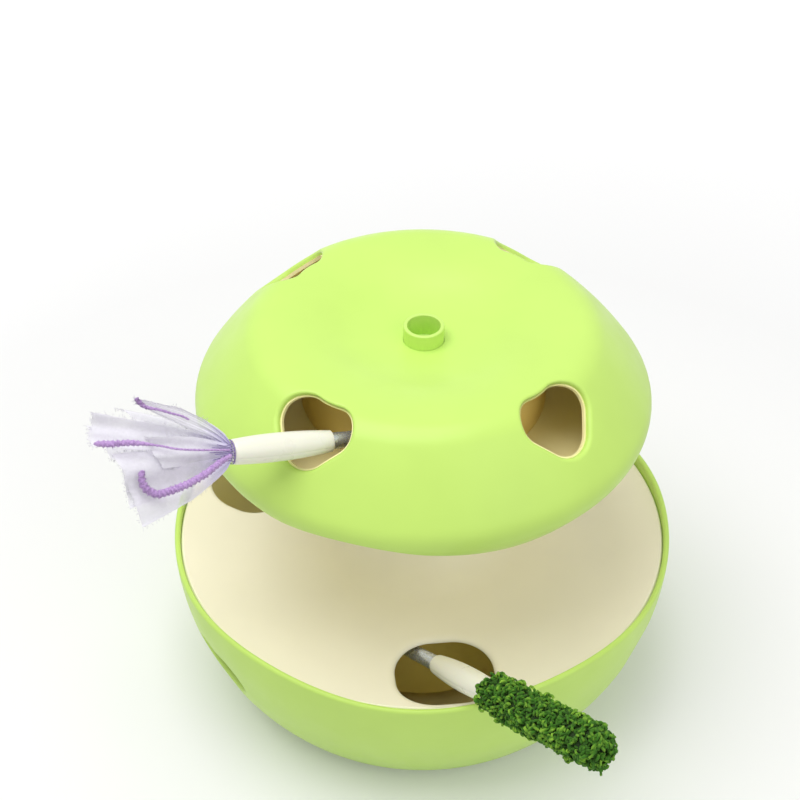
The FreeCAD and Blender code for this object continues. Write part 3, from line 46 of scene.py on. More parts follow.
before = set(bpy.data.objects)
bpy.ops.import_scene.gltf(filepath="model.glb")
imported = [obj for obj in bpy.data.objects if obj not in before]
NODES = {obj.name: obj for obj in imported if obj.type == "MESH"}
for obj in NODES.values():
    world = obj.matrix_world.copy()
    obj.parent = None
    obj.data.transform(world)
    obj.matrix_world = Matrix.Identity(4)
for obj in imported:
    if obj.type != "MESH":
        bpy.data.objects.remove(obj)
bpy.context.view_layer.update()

MM = 0.001
PLAIN_STEP = 1.8
MERGE = 2e-6
UP = np.array([0.0, 0.0, 1.0])

# Dome in section: level round the stem, hollow dip, swell, shoulder, flank, widest part, straight hem
STEM_RADIUS, STEM_BORE, STEM_STAND, STEM_HOLE = 8.0, 6.4, 6.5, 8.05
SHOULDER_RADIUS, SHOULDER_TOP = 59.5, 173.4
DIP_CURVE, SHOULDER_CURVE, FLANK_CURVE, EDGE_CURVE = 82.0, 14.0, 151.0, 10.0
SHOULDER_END, FLANK_END, EDGE_END, HEM = 45.0, 33.6, -35.0, 14.0
DIP_TURN = math.asin((SHOULDER_RADIUS - STEM_RADIUS) / (2 * DIP_CURVE))
DOME_FLOOR = SHOULDER_TOP - 2 * DIP_CURVE * (1 - math.cos(DIP_TURN))
DOME_WALL = 2.2
DOME_EDGE = (133.3, 4.5, 4, -18.0)
DOME_HEARTS, HEART_REACH = (-36.0, 44.0, 140.0, 232.0), 14.5
DOME_BOSSES, BOSS_CIRCLE, BOSS_FOOT = (4.0, 94.0, 184.0, 274.0), 74.0, 140.4

# Bowl in section, from its rim down to the opening in its bottom
BOWL_MIDDLE, BOWL_RIM, BOWL_CURVE = -2.6, 70.0, 107.2
BOWL_CORNER, BOWL_BOTTOM, BOWL_OPENING = 16.0, 0.8, 60.0
BOWL_WALL, FILM = 2.4, 0.6
BOWL_EDGE = (BOWL_RIM, 2.0, 5, 33.2)
BOWL_HEARTS, BOWL_HEART_Z = (65.0, 185.0, 305.0), 38.0
BUTTON_AT, BUTTON_Z, BUTTON_HOLE = 126.0, 28.0, 6.3
PORT_AT, PORT_Z, PORT_WIDE, PORT_TALL, PORT_CORNER = 156.0, 13.0, 9.34, 3.66, 0.9

# Posts behind the button and the port: aside, radius, foot and top
BUTTON_POSTS, PORT_POSTS, PORT_POST_CIRCLE = (10.4, 2.0, 1.2, 8.5), (6.4, 2.0, 2.0, 9.7), 70.9

# Flesh plate in section, seen from above
PLATE_HUB, PLATE_FLAT, PLATE_TOP, PLATE_CURVE, PLATE_TURN = 18.25, 74.0, 61.5, 67.2, 24.1
PLATE_WALL = 2.2
PLATE_HOLES = (6.0, 126.0, 246.0)
PLATE_HOLE_CIRCLE, PLATE_HOLE_WIDE, PLATE_HOLE_DEEP, PLATE_HOLE_CORNER = 80.2, 39.0, 35.5, 15.5
PLATE_POSTS, POST_CIRCLE, POST_RADIUS, POST_FOOT, POST_TOP = (96.0, 216.0, 336.0), 63.0, 3.6, 5.4, 60.4

# Coves that run the core into the flesh plate below and the upper floor above
CORE_FOOT, CORE_HEAD, CORE_COVE = 61.5, 138.2, 22.0
CORE_WAIST, CORE_CURVE, COVE_SINK, COVE_BACK = 18.6, 101.3, 0.04, 1.2

# Heart: radii of its lobes, tip and cleft, and the lobes' and the tip's way from its middle
LOBE, TIP, CLEFT = 9.5, 10.5, 30.0
LOBE_SPREAD, LOBE_RISE, TIP_DROP = 6.0, 3.5, 3.0

# Wands: azimuth, rise, way from the turret's axis, height, side of the axis; then ways along each wand
LOWER_WAND = (30.1001, 30.0006, 33.8, 23.7, -1)
UPPER_WAND = (-66.3, 12.0, 38.7, 150.7, 1)
LOWER_TUBE, LOWER_STICK_END, PLUSH_LONG = (17.0, 81.3), 122.1, 80.1
UPPER_TUBE, UPPER_STICK_END = (8.0, 56.2), 93.3
TUBE_RADIUS, TUBE_BORE, TUBE_EDGE, STICK_PLUG = 3.0, 2.4, 0.15, 14.0
COLLAR, COLLAR_BORE = 0.7, 3.55
STICK_ROOT, STICK_BELLY, STICK_TIP, BELLY_AT = 4.0, 5.2, 4.5, 22.0
SEAM_DEEP, SEAM_WIDE = 0.16, 0.05

# Camera: place in metres, pitch in radians and lens, and its upward direction
CAMERA_SPOT, CAMERA_PITCH, CAMERA_LENS = (-0.0092, -0.493, 0.5413), math.radians(50.45), 72.0
CAMERA_UP = np.array([0.0, math.cos(CAMERA_PITCH), math.sin(CAMERA_PITCH)])


def srgb(red, green, blue):
    """A display colour, 0 to 255, as the linear colour that the shader takes."""
    parts = np.array([red, green, blue]) / 255.0
    linear = np.where(parts <= 0.04045, parts / 12.92, ((parts + 0.055) / 1.055) ** 2.4)
    return (*linear.tolist(), 1.0)


def outward(azimuth):
    """Unit vectors away from the axis at azimuths in radians."""
    return np.stack([np.sin(azimuth), -np.cos(azimuth), np.zeros_like(azimuth)], -1)


def sideways(azimuth):
    """Unit vector towards a growing azimuth, in radians, across the one away from the axis."""
    return np.array([math.cos(azimuth), math.sin(azimuth), 0.0])


def unit(vectors):
    """Vectors brought to length one."""
    return vectors / np.linalg.norm(vectors, axis=-1, keepdims=True)


def around(count):
    """Even angles once round."""
    return np.linspace(0, 2 * math.pi, count, endpoint=False)


def arc_after(arc, curve, last):
    """The arc that goes on from the end of another without a corner: its centre lies on the normal there."""
    middle_r, middle_z, before, _, first = arc
    lean = math.radians(first)
    shift = before - curve
    return middle_r + shift * math.cos(lean), middle_z + shift * math.sin(lean), curve, first, last


def section(*runs):
    """Walk a section drawn as arcs and straight runs.

    An arc is (centre radius, centre height, curve, first, last): its points are the centre plus curve times
    the unit normal, whose elevation runs from first to last in degrees. A hollow arc has a negative curve.
    A straight run is (radius, height, radius, height), and its normal is its heading turned a quarter left.
    The rows are the way walked, the radius, the height and the elevation of the normal.
    """
    radii, heights, leans = [], [], []
    for run in runs:
        if len(run) == 5:
            middle_r, middle_z, curve, first, last = run
            count = int(abs(math.radians(last - first) * curve) * 4) + 3
            lean = np.radians(np.linspace(first, last, count))
            radii.append(middle_r + curve * np.cos(lean))
            heights.append(middle_z + curve * np.sin(lean))
        else:
            count = 40
            lean = np.full(count, math.atan2(run[2] - run[0], run[1] - run[3]))
            radii.append(np.linspace(run[0], run[2], count))
            heights.append(np.linspace(run[1], run[3], count))
        leans.append(lean)
    radius, height, lean = np.concatenate(radii), np.concatenate(heights), np.concatenate(leans)
    way = np.concatenate([[0.0], np.cumsum(np.hypot(np.diff(radius), np.diff(height)))])
    return np.stack([way, radius, height, lean])


class Wall:
    """A turned wall of one thickness, whose points are named by azimuth, way down its section and depth.

    Its outer skin lies a start depth under the section.
    """

    def __init__(self, rows, thick, start=0.0):
        self.rows = rows
        self.thick = thick
        self.start = start

    def way_at_height(self, height):
        """Way to a height, on the part of the section that falls."""
        start = int(np.argmax(self.rows[2]))
        ways = np.interp(height, self.rows[2][start:][::-1], self.rows[0][start:][::-1])
        return ways if np.ndim(ways) else float(ways)

    def way_at_radius(self, radius):
        """Way to a radius, on a section whose radius only grows."""
        return float(np.interp(radius, self.rows[1], self.rows[0]))

    def wavy_edge(self, mean, rise, crests, crest_at):
        """Way to an edge whose height swings as a cosine round the axis, as a function of the azimuths."""
        first = math.radians(crest_at)
        return lambda azimuths: self.way_at_height(mean + rise * np.cos(crests * (azimuths - first)))

    def spot(self, azimuth, way, lean=None):
        """A hole's azimuth in radians, its way and its axis's elevation: the normal's if none is given."""
        natural = float(np.interp(way, self.rows[0], self.rows[3]))
        return math.radians(azimuth), way, natural if lean is None else lean

    def height_at_radius(self, radius, depth):
        """Height of the outer part of the wall over a radius, at a depth."""
        past = self.rows[:, int(np.argmax(self.rows[2])):]
        radii = past[1] - depth * np.cos(past[3])
        outer = slice(0, int(np.argmax(radii)))
        return np.interp(radius, radii[outer], (past[2] - depth * np.sin(past[3]))[outer])

    def point(self, azimuth, way, depth):
        """The section's point at the way, moved by depth against its normal and turned to the azimuth."""
        way_row, radius_row, height_row, lean_row = self.rows
        depth = depth + self.start
        lean = np.interp(way, way_row, lean_row)
        radius = np.interp(way, way_row, radius_row) - depth * np.cos(lean)
        height = np.interp(way, way_row, height_row) - depth * np.sin(lean)
        return outward(azimuth) * radius[..., None] + UP * height[..., None]

    def seen_at(self, place, flat, depth):
        """Azimuth and way of the points, at a depth, that lie at flat x, y when seen straight along a hole.

        place is the hole's azimuth, way and the elevation of its axis. Newton's rule in two unknowns, with
        slopes from small differences, moves every point together until its flat x and y are right.
        """
        turn, way, lean = place
        across = sideways(turn)
        upward = UP * math.cos(lean) - outward(turn) * math.sin(lean)
        middle = self.point(np.array(turn), np.array(way), -self.start)
        radius = float(np.interp(way, self.rows[0], self.rows[1]))
        azimuths = turn + flat[..., 0] / radius
        ways = way - flat[..., 1]
        small = 0.01

        def view(azimuth, way_here):
            here = self.point(azimuth, way_here, depth) - middle
            return np.stack([here @ across, here @ upward], -1)

        for _ in range(7):
            here = view(azimuths, ways)
            by_turn = (view(azimuths + small / radius, ways) - here) * (radius / small)
            by_way = (view(azimuths, ways + small) - here) / small
            miss = flat - here
            size = by_turn[..., 0] * by_way[..., 1] - by_turn[..., 1] * by_way[..., 0]
            azimuths = azimuths + (miss[..., 0] * by_way[..., 1] - miss[..., 1] * by_way[..., 0]) / size
            ways = ways + (by_turn[..., 0] * miss[..., 1] - by_turn[..., 1] * miss[..., 0]) / size
        return azimuths, ways


class Skin:
    """Grids of points, in millimetres, that become one mesh."""

    def __init__(self):
        self.points = []
        self.faces = []
        self.count = 0

    def add(self, points, faces):
        """Add points and the quads that join them."""
        self.points.append(points)
        self.faces.append(faces + self.count)
        self.count += len(points)

    def grid(self, points, closed=False):
        """Add quads over points (rows, columns, 3), joining the last column to the first when closed."""
        rows, columns = points.shape[:2]
        index = np.arange(rows * columns).reshape(rows, columns)
        if closed:
            index = np.concatenate([index, index[:, :1]], 1)
        quads = np.stack([index[:-1, :-1], index[1:, :-1], index[1:, 1:], index[:-1, 1:]], -1).reshape(-1, 4)
        self.add(points.reshape(-1, 3), quads)

    def piece(self, name, finish, merge=True, sharp=35.0):
        """Make the object: merge doubles, point the faces outwards and keep creases over sharp degrees."""
        mesh = bpy.data.meshes.new(name)
        points = np.concatenate(self.points) * MM
        mesh.from_pydata(points.tolist(), [], np.concatenate(self.faces).tolist())
        if merge:
            work = bmesh.new()
            work.from_mesh(mesh)
            bmesh.ops.remove_doubles(work, verts=work.verts, dist=MERGE)
            bmesh.ops.dissolve_degenerate(work, edges=work.edges, dist=MERGE)
            bmesh.ops.recalc_face_normals(work, faces=work.faces)
            work.to_mesh(mesh)
            work.free()
        mesh.shade_smooth()
        mesh.set_sharp_from_angle(angle=math.radians(sharp))
        mesh.materials.append(finish)
        piece = bpy.data.objects.new(name, mesh)
        bpy.context.scene.collection.objects.link(piece)
        return piece


def store(piece, name, values):
    """Keep a value at each of a piece's points, for its finish to read."""
    layer = piece.data.attributes.new(name, "FLOAT", "POINT")
    layer.data.foreach_set("value", values.ravel().astype(np.float32))


def closed_outline(arcs, count_side, count_level, facing=45.0):
    """Resample a closed outline of arcs into four quarters: right, top, left and bottom.

    The outline is walked counter-clockwise from the heading minus facing, seen from its own middle, and each
    quarter is cut into equal lengths. Returns the points and the outward normals, one row each.
    """
    spots, normals = [], []
    for centre_x, centre_y, curve, first, last in arcs:
        heading = np.radians(np.linspace(first, last, 160))
        normal = np.stack([np.cos(heading), np.sin(heading)], -1)
        spots.append(np.array([centre_x, centre_y]) + curve * normal)
        normals.append(normal)
    spots, normals = np.concatenate(spots), np.concatenate(normals)
    way = np.concatenate([[0.0], np.cumsum(np.hypot(*np.diff(spots, axis=0).T))])
    whole = way[-1] + float(np.hypot(*(spots[0] - spots[-1])))
    middle = (spots.max(0) + spots.min(0)) / 2
    heading = np.unwrap(np.arctan2(*(spots - middle).T[::-1]))
    corners = []
    for corner in np.radians([-facing, facing, 180 - facing, 180 + facing, 360 - facing]):
        lap = math.floor((corner - heading[0]) / (2 * math.pi))
        corners.append(float(np.interp(corner - 2 * math.pi * lap, heading, way)) + lap * whole)
    stops = [np.linspace(corners[quarter], corners[quarter + 1], count, endpoint=False)
             for quarter, count in enumerate((count_side, count_level, count_side, count_level))]
    stops = np.mod(np.concatenate(stops), whole)
    long_way = np.append(way, whole)
    columns = [np.interp(stops, long_way, np.append(column, column[0])) for column in (*spots.T, *normals.T)]
    outline, normal = np.stack(columns[:2], -1), np.stack(columns[2:], -1)
    return outline, normal / np.hypot(*normal.T)[:, None]


def heart_arcs():
    """A heart as arcs (centre x, centre y, curve, first and last heading), counter-clockwise from its tip.

    Tip and lobe share a straight tangent, so the heading of its normal is the heading from the tip's centre
    to the lobe's, less the angle whose cosine is the difference of their radii over the way between them.
    The cleft is hollow and touches both lobes, so its centre lies from theirs as far as both radii together.
    """
    rise = LOBE_RISE + TIP_DROP
    off = math.acos((TIP - LOBE) / math.hypot(LOBE_SPREAD, rise))
    side = math.degrees(math.atan2(rise, LOBE_SPREAD) - off)
    half = math.degrees(math.asin(LOBE_SPREAD / (CLEFT + LOBE)))
    cleft_z = LOBE_RISE + math.sqrt((CLEFT + LOBE) ** 2 - LOBE_SPREAD ** 2)
    return ((0.0, -TIP_DROP, TIP, -90.0, side),
            (LOBE_SPREAD, LOBE_RISE, LOBE, side, 90.0 + half),
            (0.0, cleft_z, -CLEFT, 90.0 + half, 90.0 - half),
            (-LOBE_SPREAD, LOBE_RISE, LOBE, 90.0 - half, 180.0 - side),
            (0.0, -TIP_DROP, TIP, 180.0 - side, 270.0))


def oblong_arcs(wide, tall, corner):
    """A rectangle with round corners."""
    x, y = wide / 2 - corner, tall / 2 - corner
    return ((x, -y, corner, -90.0, 0.0), (x, y, corner, 0.0, 90.0),
            (-x, y, corner, 90.0, 180.0), (-x, -y, corner, 180.0, 270.0))


def rounded_lip(roll, thick, flare=0.0, spread=1.0):
    """A hole's edge as rows of (grown outline, depth): a quarter ellipse of depth roll, then straight."""
    turns = np.linspace(0, math.pi / 2, 8)
    rows = [(spread * roll * (1 - math.sin(turn)), roll * (1 - math.cos(turn))) for turn in turns]
    return rows + [(0.0, max(roll, 0.62 * thick)), (flare, thick)]


def holed_sector(skin, wall, turns, ways, place, arcs, counts, lip, facing=45.0, rings=16):
    """A patch of both skins of a wall round a hole.

    Rings of points run from the patch's four sides to the hole's outline on the outer skin, through the lip,
    and back to the four sides on the inner skin. Each ring blends outline and sides in azimuth and way.
    """
    count_side, count_level = counts
    outline, normal = closed_outline(arcs, count_side, count_level, facing)
    side = np.linspace(0, 1, count_side, endpoint=False)
    level = np.linspace(0, 1, count_level, endpoint=False)
    low, high = turns
    top, bottom = ways
    frame_turns = np.concatenate([np.full(count_side, high), high + (low - high) * level,
                                  np.full(count_side, low), low + (high - low) * level])
    frame_ways = np.concatenate([bottom + (top - bottom) * side, np.full(count_level, top),
                                 top + (bottom - top) * side, np.full(count_level, bottom)])
    shares = np.linspace(0, 1, rings) ** 1.35
    patches = []
    for grow, depth in (lip[0], lip[-1]):
        hole_turns, hole_ways = wall.seen_at(place, outline + grow * normal, depth)
        blend_turns = hole_turns + shares[:, None] * (frame_turns - hole_turns)
        blend_ways = hole_ways + shares[:, None] * (frame_ways - hole_ways)
        patches.append(wall.point(blend_turns, blend_ways, depth))
    rows = [patches[0][::-1]]
    for grow, depth in lip[1:-1]:
        rows.append(wall.point(*wall.seen_at(place, outline + grow * normal, depth), depth)[None])
    rows.append(patches[1])
    skin.grid(np.concatenate(rows), closed=True)


def edge_band(skin, wall, azimuths, patch_way, edge_way, count, roll):
    """Both skins of a wall from its patches to an edge, rounded as a half ellipse of height roll."""
    sense = np.sign(np.mean(edge_way - patch_way))
    end = edge_way - sense * roll
    share = np.linspace(0, 1, count)[:, None]
    turns = np.linspace(0, math.pi, 11)[:, None]
    skin_ways = patch_way + share * (end - patch_way)
    round_ways = end + sense * roll * np.sin(turns)
    ways = np.concatenate([skin_ways, round_ways[1:-1], skin_ways[::-1]])
    depths = np.concatenate([0 * share, wall.thick / 2 * (1 - np.cos(turns[1:-1])), 0 * share + wall.thick])
    full_turns = np.broadcast_to(azimuths, ways.shape)
    skin.grid(wall.point(full_turns, ways, np.broadcast_to(depths, ways.shape)))


def holed_wall(skin, wall, holes, ways, counts, edges):
    """A whole wall: a patch round each hole, plain patches between, and bands to its upper and lower edge.

    A hole is (azimuth, half the patch's turn, place, outline arcs, lip, facing), with its angles in degrees.
    """
    sectors = []
    for number, hole in enumerate(holes):
        middle, half = hole[:2]
        after = holes[(number + 1) % len(holes)]
        lap = 0 if number + 1 < len(holes) else 360
        sectors.append((middle - half, middle + half, hole[2:]))
        sectors.append((middle + half, after[0] - after[1] + lap, None))
    for low, high, hole in sectors:
        turns = (math.radians(low), math.radians(high))
        if hole:
            azimuths = np.linspace(*turns, counts[1] + 1)
            place, arcs, lip, facing = hole
            holed_sector(skin, wall, turns, ways, place, arcs, counts, lip, facing)
        else:
            azimuths = np.linspace(*turns, max(2, round((high - low) / PLAIN_STEP)) + 1)
            rows = np.linspace(*ways, counts[0] + 1)[:, None]
            for depth in (0.0, wall.thick):
                skin.grid(wall.point(*np.broadcast_arrays(azimuths, rows), depth))
        for patch_way, (edge_way, count, roll) in zip(ways, edges):
            here = edge_way(azimuths) if callable(edge_way) else np.full(azimuths.shape, edge_way)
            edge_band(skin, wall, azimuths, patch_way, here, count, roll)


def turned_grid(skin, radii, heights, place=None, count=48, ripple=None):
    """A profile turned round a place's Z axis: radius times cosine and sine of the angle, at each height."""
    angle = around(count)
    height = np.array(heights, float)[:, None] * np.ones(count)
    radius = np.array(radii, float)[:, None] * np.ones(count)
    if ripple is not None:
        radius = radius + ripple(angle, height)
    local = np.stack([radius * np.cos(angle), radius * np.sin(angle), height], -1)
    skin.grid(local if place is None else put(place, local), closed=True)


def put(place, local):
    """Points given along a place's three axes, in the model's frame."""
    origin, axes = place
    return origin + local @ axes


def wand_place(wand, along=0.0):
    """Origin and axes of a wand a way along it: X towards the turret's axis, Y across it, Z along it."""
    turn, rise, offset, height, sense = wand
    turn, rise = math.radians(turn), math.radians(rise)
    inward = -sense * sideways(turn)
    forward = outward(turn) * math.cos(rise) + UP * math.sin(rise)
    foot = -inward * offset + UP * height
    return foot + forward * along, np.stack([inward, np.cross(forward, inward), forward])


# Finishes

def node(tree, kind, **inputs):
    """Add a shader node and set or link its inputs by name, with _ for a blank, or by number as i0, i1."""
    made = tree.nodes.new(kind)
    for name, value in inputs.items():
        numbered = name[0] == "i" and name[1:].isdigit()
        socket = made.inputs[int(name[1:]) if numbered else name.replace("_", " ")]
        if isinstance(value, bpy.types.NodeSocket):
            tree.links.new(value, socket)
        else:
            socket.default_value = value
    return made


def combine(tree, operation, first, second):
    """Two values worked together by a maths node."""
    made = node(tree, "ShaderNodeMath", i0=first, i1=second)
    made.operation = operation
    return made.outputs[0]


def attribute(tree, name):
    """A value that the mesh holds at its points."""
    made = node(tree, "ShaderNodeAttribute")
    made.attribute_name = name
    return made.outputs["Fac"]


def ramp(tree, value, *stops):
    """A colour that runs through stops, each a place from 0 to 1 and a colour, in rising order."""
    made = node(tree, "ShaderNodeValToRGB", Fac=value)
    elements = made.color_ramp.elements
    for _ in stops[2:]:
        elements.new(0.5)
    for element, (place, colour) in zip(elements, stops):
        element.position, element.color = place, colour
    return made.outputs["Color"]


def finish_tree(name, colour, roughness, metallic=0.0):
    """A new material with its shader, and its node tree."""
    finish = bpy.data.materials.new(name)
    finish.use_nodes = True
    finish.diffuse_color = colour
    shader = finish.node_tree.nodes["Principled BSDF"]
    shader.inputs["Base Color"].default_value = colour
    shader.inputs["Roughness"].default_value = roughness
    shader.inputs["Metallic"].default_value = metallic
    return finish, finish.node_tree, shader


def noise(tree, scale, detail=3.0, roughness=0.55, stretch=None):
    """Noise on Object coordinates, drawn out along an axis where stretch is given."""
    place = node(tree, "ShaderNodeTexCoord").outputs["Object"]
    if stretch:
        place = node(tree, "ShaderNodeMapping", Vector=place, Scale=stretch).outputs["Vector"]
    return node(tree, "ShaderNodeTexNoise", Vector=place, Scale=scale, Detail=detail,
                Roughness=roughness).outputs["Fac"]


def shift(tree, value, low, high):
    """Spread a 0 to 1 value over a range."""
    return node(tree, "ShaderNodeMapRange", Value=value, i1=0.3, i2=0.7, i3=low, i4=high).outputs["Result"]


def tinted(tree, colour, value, darker, lighter):
    """A colour made darker or lighter by a 0 to 1 value."""
    made = node(tree, "ShaderNodeHueSaturation", Color=colour, Value=shift(tree, value, darker, lighter))
    return made.outputs["Color"]


def bump(tree, shader, height, strength, distance, under=None):
    """Raise the surface by a height, over another bump where one is given."""
    made = node(tree, "ShaderNodeBump", Height=height, Strength=strength, Distance=distance)
    if under is not None:
        tree.links.new(under.outputs["Normal"], made.inputs["Normal"])
    tree.links.new(made.outputs["Normal"], shader.inputs["Normal"])
    return made


def moulded(name, colour, roughness=0.36, spread=0.03, grain=0.25, soft=0.0, gloss=0.5):
    """Moulded plastic: slow drift of tone, patchy gloss, and the fine grain that the mould leaves."""
    finish, tree, shader = finish_tree(name, colour, roughness)
    shader.inputs["Specular IOR Level"].default_value = gloss
    tone = noise(tree, 22.0, 3.0)
    tree.links.new(tinted(tree, colour, tone, 1 - spread, 1 + spread), shader.inputs["Base Color"])
    tree.links.new(shift(tree, noise(tree, 70.0, 5.0), roughness - 0.05, roughness + 0.06),
                   shader.inputs["Roughness"])
    coarse = bump(tree, shader, noise(tree, 140.0, 2.0), 0.06, 0.0006)
    bump(tree, shader, noise(tree, 3400.0, 2.0), grain, 0.00004, coarse)
    if soft:
        shader.inputs["Subsurface Weight"].default_value = soft
        shader.inputs["Subsurface Radius"].default_value = (0.6, 1.0, 0.3)
        shader.inputs["Subsurface Scale"].default_value = 0.003
    return finish


def metal(name, colour, roughness=0.3, wear=1.0, metallic=1.0):
    """Metal: fine scratches and clouds, in tone, gloss and height, all scaled by the wear."""
    finish, tree, shader = finish_tree(name, colour, roughness, metallic)
    scratch = noise(tree, 900.0, 4.0, 0.6)
    cloud = noise(tree, 260.0, 4.0, 0.6)
    clouded = tinted(tree, colour, cloud, 1 - 0.12 * wear, 1 + 0.12 * wear)
    tree.links.new(clouded, shader.inputs["Base Color"])
    tree.links.new(shift(tree, scratch, roughness - 0.08 * wear, roughness + 0.12 * wear),
                   shader.inputs["Roughness"])
    bump(tree, shader, scratch, 0.25 * wear, 0.00005)
    return finish


def rubber(name, colour, roughness=0.7):
    """Silicone or wrap: dull, with a fine even grain."""
    finish, tree, shader = finish_tree(name, colour, roughness)
    tree.links.new(tinted(tree, colour, noise(tree, 120.0, 4.0), 0.93, 1.06), shader.inputs["Base Color"])
    bump(tree, shader, noise(tree, 1500.0, 3.0), 0.3, 0.00008)
    return finish


def pile_finish(name, colour, painted_tip_light):
    """Plush: painted shade between the loops and painted light at their tips, with a soft nap."""
    finish, tree, shader = finish_tree(name, colour, 0.9)
    # Painted shade: the colour at the loops' roots, a sixth of the plush colour, where shade falls between
    # them.
    dark = tuple(0.16 * part for part in colour[:3]) + (1.0,)
    # The lift runs from painted shade at the roots through the plush colour to painted light at the tips.
    painted_shade_and_light = ramp(tree, attribute(tree, "lift"), (0.0, dark), (0.5, colour), (1.0, painted_tip_light))
    tree.links.new(tinted(tree, painted_shade_and_light, noise(tree, 420.0, 4.0), 0.8, 1.18), shader.inputs["Base Color"])
    shader.inputs["Sheen Weight"].default_value = 0.22
    shader.inputs["Sheen Roughness"].default_value = 0.45
    shader.inputs["Sheen Tint"].default_value = painted_tip_light
    coarse = bump(tree, shader, noise(tree, 900.0, 3.0), 0.6, 0.0005)
    bump(tree, shader, noise(tree, 4200.0, 3.0, 0.7), 0.7, 0.00022, coarse)
    return finish


def chiffon_finish(name, colour, tint):
    """Sheer cloth: a fine open weave that lets most light through, tinted where it is gathered."""
    finish, tree, shader = finish_tree(name, colour, 0.75)
    place = node(tree, "ShaderNodeUVMap")
    place.uv_map = "cut"
    tree.links.new(ramp(tree, attribute(tree, "near_knot"), (0.0, colour), (1.0, tint)),
                   shader.inputs["Base Color"])
    threads = []
    for direction in ("X", "Y"):
        wave = node(tree, "ShaderNodeTexWave", Vector=place.outputs["UV"], Scale=1250.0, Distortion=0.6)
        wave.bands_direction = direction
        threads.append(wave.outputs["Fac"])
    weave = combine(tree, "MAXIMUM", *threads)
    cloud = noise(tree, 160.0, 3.0)
    body = combine(tree, "MULTIPLY", attribute(tree, "sheer"), shift(tree, cloud, 0.8, 1.2))
    opacity = combine(tree, "MULTIPLY", body, shift(tree, weave, 0.7, 1.25))
    tree.links.new(combine(tree, "MINIMUM", opacity, 1.0), shader.inputs["Alpha"])
    shader.inputs["Sheen Weight"].default_value = 0.25
    bump(tree, shader, cloud, 0.5, 0.0006)
    return finish


def yarn_finish(name, colour, dark, sheen=0.4):
    """Yarn or thread: fibres that run along it, with a soft nap."""
    finish, tree, shader = finish_tree(name, colour, 0.85)
    fibres = noise(tree, 1500.0, 4.0, 0.7)
    tree.links.new(ramp(tree, fibres, (0.3, dark), (0.62, colour)), shader.inputs["Base Color"])
    shader.inputs["Sheen Weight"].default_value = sheen
    bump(tree, shader, fibres, 0.8, 0.0003)
    return finish


def repaint(names, finish):
    """Give the packed model's own pieces a finish."""
    for name in names:
        for holder in NODES[name].material_slots:
            holder.material = finish


# Settings that a user would change

def colour_field(name, description, colour):
    """A colour that can be set."""
    return FloatVectorProperty(name=name, description=description, subtype="COLOR", size=4, min=0.0, max=1.0,
                               default=colour)


def length_field(name, description, low, high, default):
    """A length in metres that can be set."""
    return FloatProperty(name=name, description=description, unit="LENGTH", min=low, max=high,
                         default=default, precision=4)


class ShellSettings(bpy.types.PropertyGroup):
    """Green shells, cream flesh and lining."""

    lime: colour_field("Lime", "Colour of the dome and the bowl", srgb(196, 230, 112))
    cream: colour_field("Cream", "Colour of the flesh and the core", srgb(249, 244, 220))
    inside: colour_field("Inside", "Colour of the lining inside both shells", srgb(255, 244, 184))
    heart_roll: length_field("Heart Roll", "Radius of the rolled edge of the hearts", 0.0002, 0.0021, 0.0019)
    hole_roll: length_field("Hole Roll", "Rounding of the flesh plate's oval holes", 0.0002, 0.0021, 0.0019)


class WandSettings(bpy.types.PropertyGroup):
    """Sticks, tubes and the plush tip."""

    ivory: colour_field("Ivory", "Colour of the sticks", srgb(236, 235, 218))
    steel: colour_field("Steel", "Colour of the wand tubes", srgb(202, 206, 214))
    plush: colour_field("Plush", "Colour of the plush tip", srgb(54, 112, 6))
    # The Plush Tips colour is painted light on the ends of the plush loops.
    plush_lit_tips: colour_field("Plush Tips", "Colour of the ends of the plush loops", srgb(150, 198, 60))
    loops: IntProperty(name="Loops", description="Loops in the plush tip's pile", min=100, max=2800,
                       default=2760)
    loop_length: length_field("Loop Length", "Length of one loop of pile", 0.003, 0.009, 0.0062)


class FlowerSettings(bpy.types.PropertyGroup):
    """Chiffon flower with its cords and its knot."""

    chiffon: colour_field("Chiffon", "Colour of the chiffon", srgb(230, 228, 236))
    lilac: colour_field("Lilac", "Colour of the twisted cords", srgb(206, 170, 224))
    opacity: FloatProperty(name="Opacity", description="How much light one layer of chiffon stops", min=0.1,
                           max=1.0, default=0.71)


class StageSettings(bpy.types.PropertyGroup):
    """Floor, light and camera."""

    floor: colour_field("Floor", "Colour of the floor", (0.8, 0.8, 0.8, 1.0))
    key_power: FloatProperty(name="Key Light", description="Power of the main lamp in watts", min=0.0,
                             max=100.0, default=13.0)
    ambient: FloatProperty(name="Ambient", description="Strength of the even light all round", min=0.0,
                           max=2.0, default=0.5)


# Pieces

def dome_wall():
    """The dome's wall from the axis down to below its hem."""
    dip = (STEM_RADIUS, DOME_FLOOR + DIP_CURVE, -DIP_CURVE, 90.0, 90.0 + math.degrees(DIP_TURN))
    swell = arc_after(dip, DIP_CURVE, 90.0)
    shoulder = arc_after(swell, SHOULDER_CURVE, SHOULDER_END)
    flank = arc_after(shoulder, FLANK_CURVE, FLANK_END)
    edge = arc_after(flank, EDGE_CURVE, EDGE_END)
    lean = math.radians(EDGE_END)
    hem_r, hem_z = edge[0] + EDGE_CURVE * math.cos(lean), edge[1] + EDGE_CURVE * math.sin(lean)
    hem = (hem_r, hem_z, hem_r + HEM * math.sin(lean), hem_z - HEM * math.cos(lean))
    level = (0.0, DOME_FLOOR, STEM_RADIUS, DOME_FLOOR)
    return Wall(section(level, dip, swell, shoulder, flank, edge, hem), DOME_WALL)


